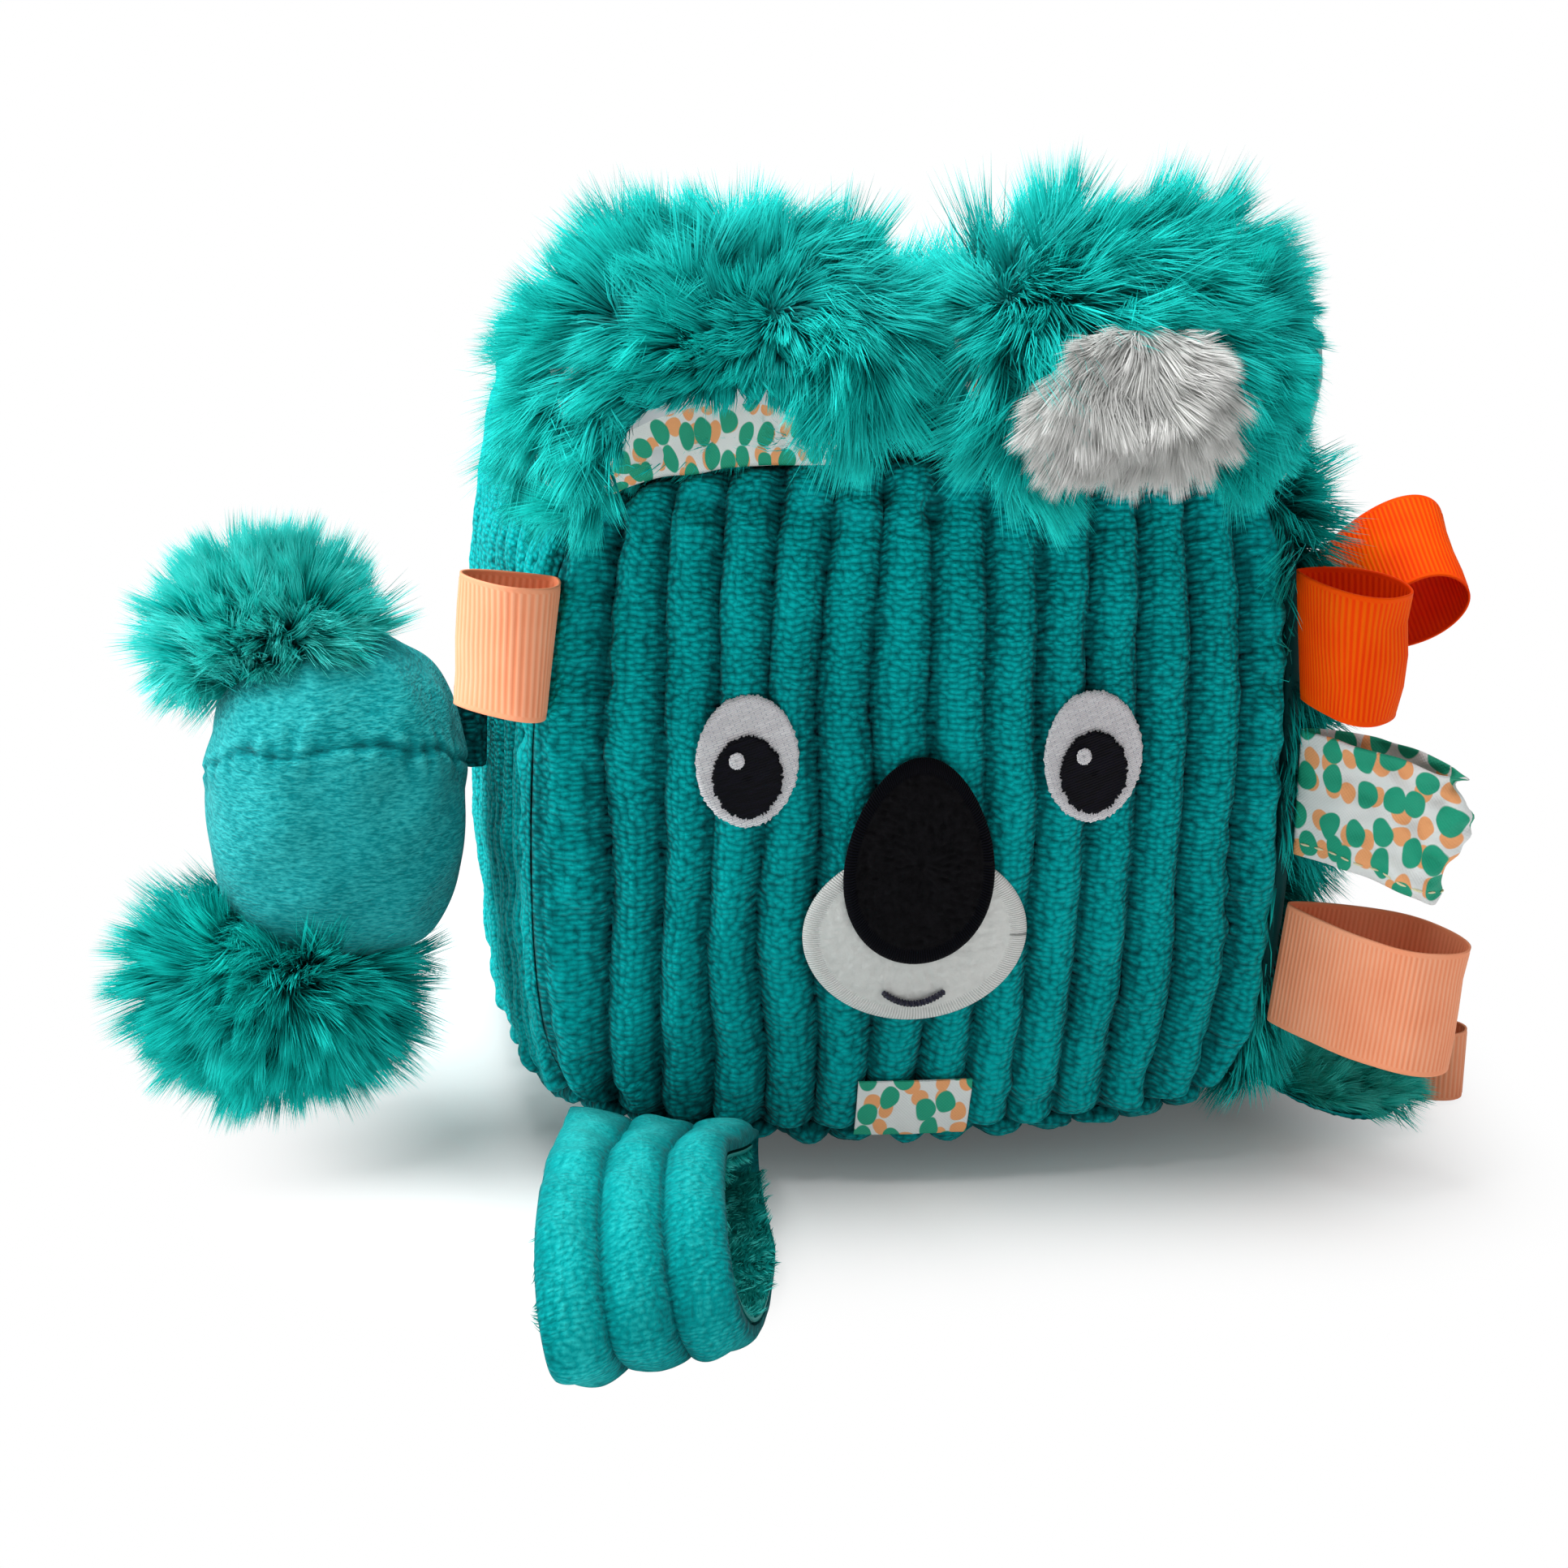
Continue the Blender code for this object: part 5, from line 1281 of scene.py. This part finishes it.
BACK_LEAN, BACK_RISE = math.radians(23), math.radians(37)
back_across = np.array([0, math.cos(BACK_LEAN), math.sin(BACK_LEAN)])
back_out = combed(np.array([math.cos(BACK_RISE), 0, math.sin(BACK_RISE)]), back_across)
back_root = skin("right", -0.51, (0.104 - BLOCK_CENTRE[2]) / BLOCK_HALF[2], out=0.008) - (0.0006, 0, 0)
ribbon("ribbon_peach_left", "peach_left", seam_spot(("front", "left"), 0.1125, 44, -1),
       (0.0180, 0.0180, RIBBON_WIDTH, 0), PEACH_RIBBON, "peach_ribbon", 0.0002, 141)
ribbon("ribbon_orange_front", "orange_front", seam_spot(("front", "right"), 0.1125, 46, 3),
       (0.0205, 0.0165, RIBBON_WIDTH, 0.0035), ORANGE_RIBBON, "orange_ribbon", 0.0004, 142)
ribbon("ribbon_peach_right", "peach_right", seam_spot(("front", "right"), 0.0445, 27, 6),
       (0.0355, 0.0180, RIBBON_WIDTH, 0.0010), PEACH_RIBBON, "peach_ribbon", 0.0004, 143)
ribbon("ribbon_orange_back", "orange_back", (back_root, back_out, back_across, back_across),
       (0.0300, 0.0150, RIBBON_WIDTH, 0), ORANGE_RIBBON, "orange_ribbon", 0.0003, 144)


# Print loops and tab
# Folded strips of the printed cotton, pressed flat and a little crumpled, with a row of cream stitches
# near the hem, and a flat tab of the same cloth over the bottom front seam.

CREAM_THREAD = plush_finish("cream_thread", dye(222, 212, 168), dye(244, 238, 200), 0.0004)
HEM = 0.80
STITCH_STEP = 0.0031
STITCH_LENGTH = 0.0021


def print_loop(name, body, spot, shape, crumple, seed):
    """A loop of printed cotton, and a row of short rounded stitches along its lower hem.

    Two sizes of creases stand off it, and fade out at its seam. Each stitch is a small closed capsule.
    """
    length, bulge, width, _ = shape

    def slack(column, turn):
        still = band(spot, shape, column, turn, 0.0)
        creases = ripples(still, 0.011, seed) + 0.5 * ripples(still, 0.005, seed + 1)
        return crumple * creases * np.sin(turn / 2) ** 2

    turns, way = even_turns(length, bulge, 300)
    turn, column = np.meshgrid(turns, np.linspace(-1, 1, 41), indexing="ij")
    hem = 0.00015 * (np.abs(np.abs(column) - HEM) < 0.03)
    outer = band(spot, shape, column, turn, 0.00065 + slack(column, turn) - hem)
    inner = band(spot, shape, column, turn, 0.00015 + slack(column, turn))
    along = np.linspace(0, way, 300, endpoint=False)[:, None] + 0 * column
    piece = sew(name + "_cotton", body, [name], PRINT_COTTON, "print_cotton",
                (*slab(outer, inner, wrap=True), {}), uv=np.stack([along, (column + 1) * width / 2], -1))
    turns, way = even_turns(length, bulge, 1200)
    directions, faces = sphere_directions(5, 6), ring_faces(5, 6)
    layers = []
    for start in np.arange(0.0015, way - 0.0035, STITCH_STEP):
        places = (start + (directions[:, 2] + 1) / 2 * STITCH_LENGTH) * (1200 / way)
        turn = np.interp(places, np.arange(1200), turns)
        height = 0.00068 + slack(np.full(len(turn), -HEM), turn) + directions[:, 1] * 0.00022
        points = band(spot, shape, directions[:, 0] * 0.02 - HEM, turn, height)
        layers.append((points, outward(points, faces), {}))
    stitches = sew(name + "_stitches", body, [], CREAM_THREAD, None, *layers)


def print_tab():
    """The tab over the bottom front seam, lying on the ribs."""
    row, column = lattice((0, 1, 50), (-1, 1, 80))
    x = column * 0.0117
    z = BLOCK_CENTRE[2] - BLOCK_HALF[2] - 0.0025 + 0.0130 * row
    foot = on_front(x, z, 0.0003)
    top = on_front(x, z, 0.0009) - (0, 1, 0) * (0.00012 * ripples(foot, 0.006, 171))[..., None]
    piece = sew("print_tab_cotton", "block", ["print_tab_bottom"], PRINT_COTTON, "print_cotton",
                (*slab(top, foot), {}), uv=np.stack([x + 0.05, z + 0.03], -1))


print_loop("loop_print_right", "print_right", seam_spot(("front", "right"), 0.0805, 29, 11),
           (0.0305, 0.0090, RIBBON_WIDTH, 0.0060), 0.0010, 151)
print_loop("loop_print_back", "print_back", seam_spot(("back", "right"), 0.1235, 31, 0, 0.020),
           (0.0460, 0.0090, 0.020, 0), 0.0006, 161)
print_tab()


# Foot flap
# A padded flap at the lower right seam, fur above and pale velour below, with a small peach ribbon
# loop sewn to its tip.

# A paler copy of the teal fur for the flap: painted light, as if it were lit instead of lying in the block's
# shade.
PAINTED_LIT_FUR = fur_finish("painted_lit_fur", dye(0, 112, 108), dye(22, 192, 180), dye(96, 240, 228))
FLAP_LENGTH = 0.036
FLAP_HALF_WIDTH = 0.021
FLAP_UNDER = 0.0028
FLOOR_GAP = 0.0006


def foot_flap():
    """The flap's two slabs over a disc that drops from the seam to the floor by a quarter sine."""
    root = block_point(np.array([1.0, -0.54, -1.0]))
    start_x = root[0] + 0.0003 + 0.0014
    disc_a, disc_b, swell = disc(60)
    share = (disc_a + 1) / 2
    middle = root[2] - (root[2] - FLAP_UNDER - FLOOR_GAP) * np.sin(math.pi / 2 * share)
    swell = (0.04 + 0.96 * np.clip(share / 0.9, 0, 1)) * swell
    flat = np.stack([start_x + FLAP_LENGTH * share, root[1] + FLAP_HALF_WIDTH * disc_b, middle], -1)

    def raised(height):
        return flat + np.stack([0 * share, 0 * share, height + 0 * share], -1)

    inner, outer = raised(0.0003), raised(0.0003 + 0.0030 * swell)
    roots, normals, _, _ = scatter(outer, 15000, 181)
    normals = facing(normals, (0, 0, 1))
    comb = combed(roots - np.array([root[0] - 0.01, root[1] + 0.002, 0]), normals)
    hair = pile(roots, normals, comb, 0.0085, 0.00028, 300, 182, sag=0.05)
    # The backing's values give it the colour of the hair's roots: painted shade.
    sew("foot_flap_hair", "foot_flap", ["foot_flap_fur"], PAINTED_LIT_FUR, "teal_fur",
        (*slab(outer, inner), {"shade": 0.25, "tip": 0.0}), hair, fill=0.4)
    tufts = ripples(flat, 0.0018, 183)
    under = slab(raised(0.0), raised(-FLAP_UNDER * swell + 0.0001 * tufts))
    sew("foot_flap_under", "foot_flap", ["foot_flap_velour"], STRAP_VELOUR, "plain_velour",
        (*under, {"nap": np.clip(0.55 + 0.10 * tufts, 0, 1), "plain": 0.5}), uv=flat[..., :2], fill=0.4)
    width = 0.015
    out, across = np.array([1.0, 0, 0]), np.array([0, 0, 1.0])
    tip = np.array([start_x + FLAP_LENGTH, root[1], FLOOR_GAP + width / 2])
    ribbon("ribbon_peach_small", "foot_flap", (tip, out, across, across), (0.0125, 0.0075, width, 0),
           PEACH_RIBBON, "peach_ribbon", 0.0, 184)


foot_flap()


# Inside
# What the covers hide: the foam block and its plug, the rattle ball with its pellets, the plush head's
# filling and the crinkle film. They keep their CAD shapes.

def foam_finish():
    """Open cell foam: cream, with pores darkened by painted shade."""
    finish = Finish("foam", 0.95)
    cells = finish.node("TexVoronoi", {}, {"Vector": finish.solid(), "Scale": 900.0})
    finish.feed("Base Color", finish.mixed(cells, dye(196, 190, 168), dye(244, 241, 228)))
    finish.bumped(cells, 0.0006, 0.6)
    return finish


def moulded_finish(name, colour, light):
    """Moulded plastic with a faint mottle and fine grain."""
    finish = Finish(name, 0.35)
    finish.feed("Base Color", finish.mixed(finish.speckle(0.004), colour, light))
    finish.feed("Roughness", finish.speckle(0.002) * 0.2 + 0.28)
    finish.bumped(finish.speckle(0.0006), 0.00005, 0.4)
    return finish


def film_finish():
    """Crinkle film: thin clear plastic with sharp creases, darkened along them by painted shade."""
    finish = Finish("crinkle_film", 0.25)
    creases = finish.node("TexVoronoi", {"feature": "DISTANCE_TO_EDGE"},
                          {"Vector": finish.solid(), "Scale": 160.0})
    finish.feed("Base Color", finish.mixed(creases, dye(200, 205, 208), dye(240, 242, 244)))
    finish.bumped(creases, 0.0008, 0.8)
    return finish


def dress(finish, *nodes):
    """Gives nodes that keep their CAD shapes a finish."""
    for name in nodes:
        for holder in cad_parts[name].material_slots:
            holder.material = finish.material


dress(foam_finish(), "foam_core", "foam_plug")
dress(moulded_finish("shell_plastic", dye(220, 220, 216), dye(240, 240, 236)), "rattle_shell_upper",
      "rattle_shell_lower")
dress(moulded_finish("pellet_plastic", dye(96, 148, 190), dye(120, 170, 208)), "rattle_pellet_1",
      "rattle_pellet_2", "rattle_pellet_3")
dress(plush_finish("stuffing", dye(214, 214, 210), dye(246, 246, 244), 0.003), "side_ball_filling")
dress(film_finish(), "ear_left_film", "ear_right_film")
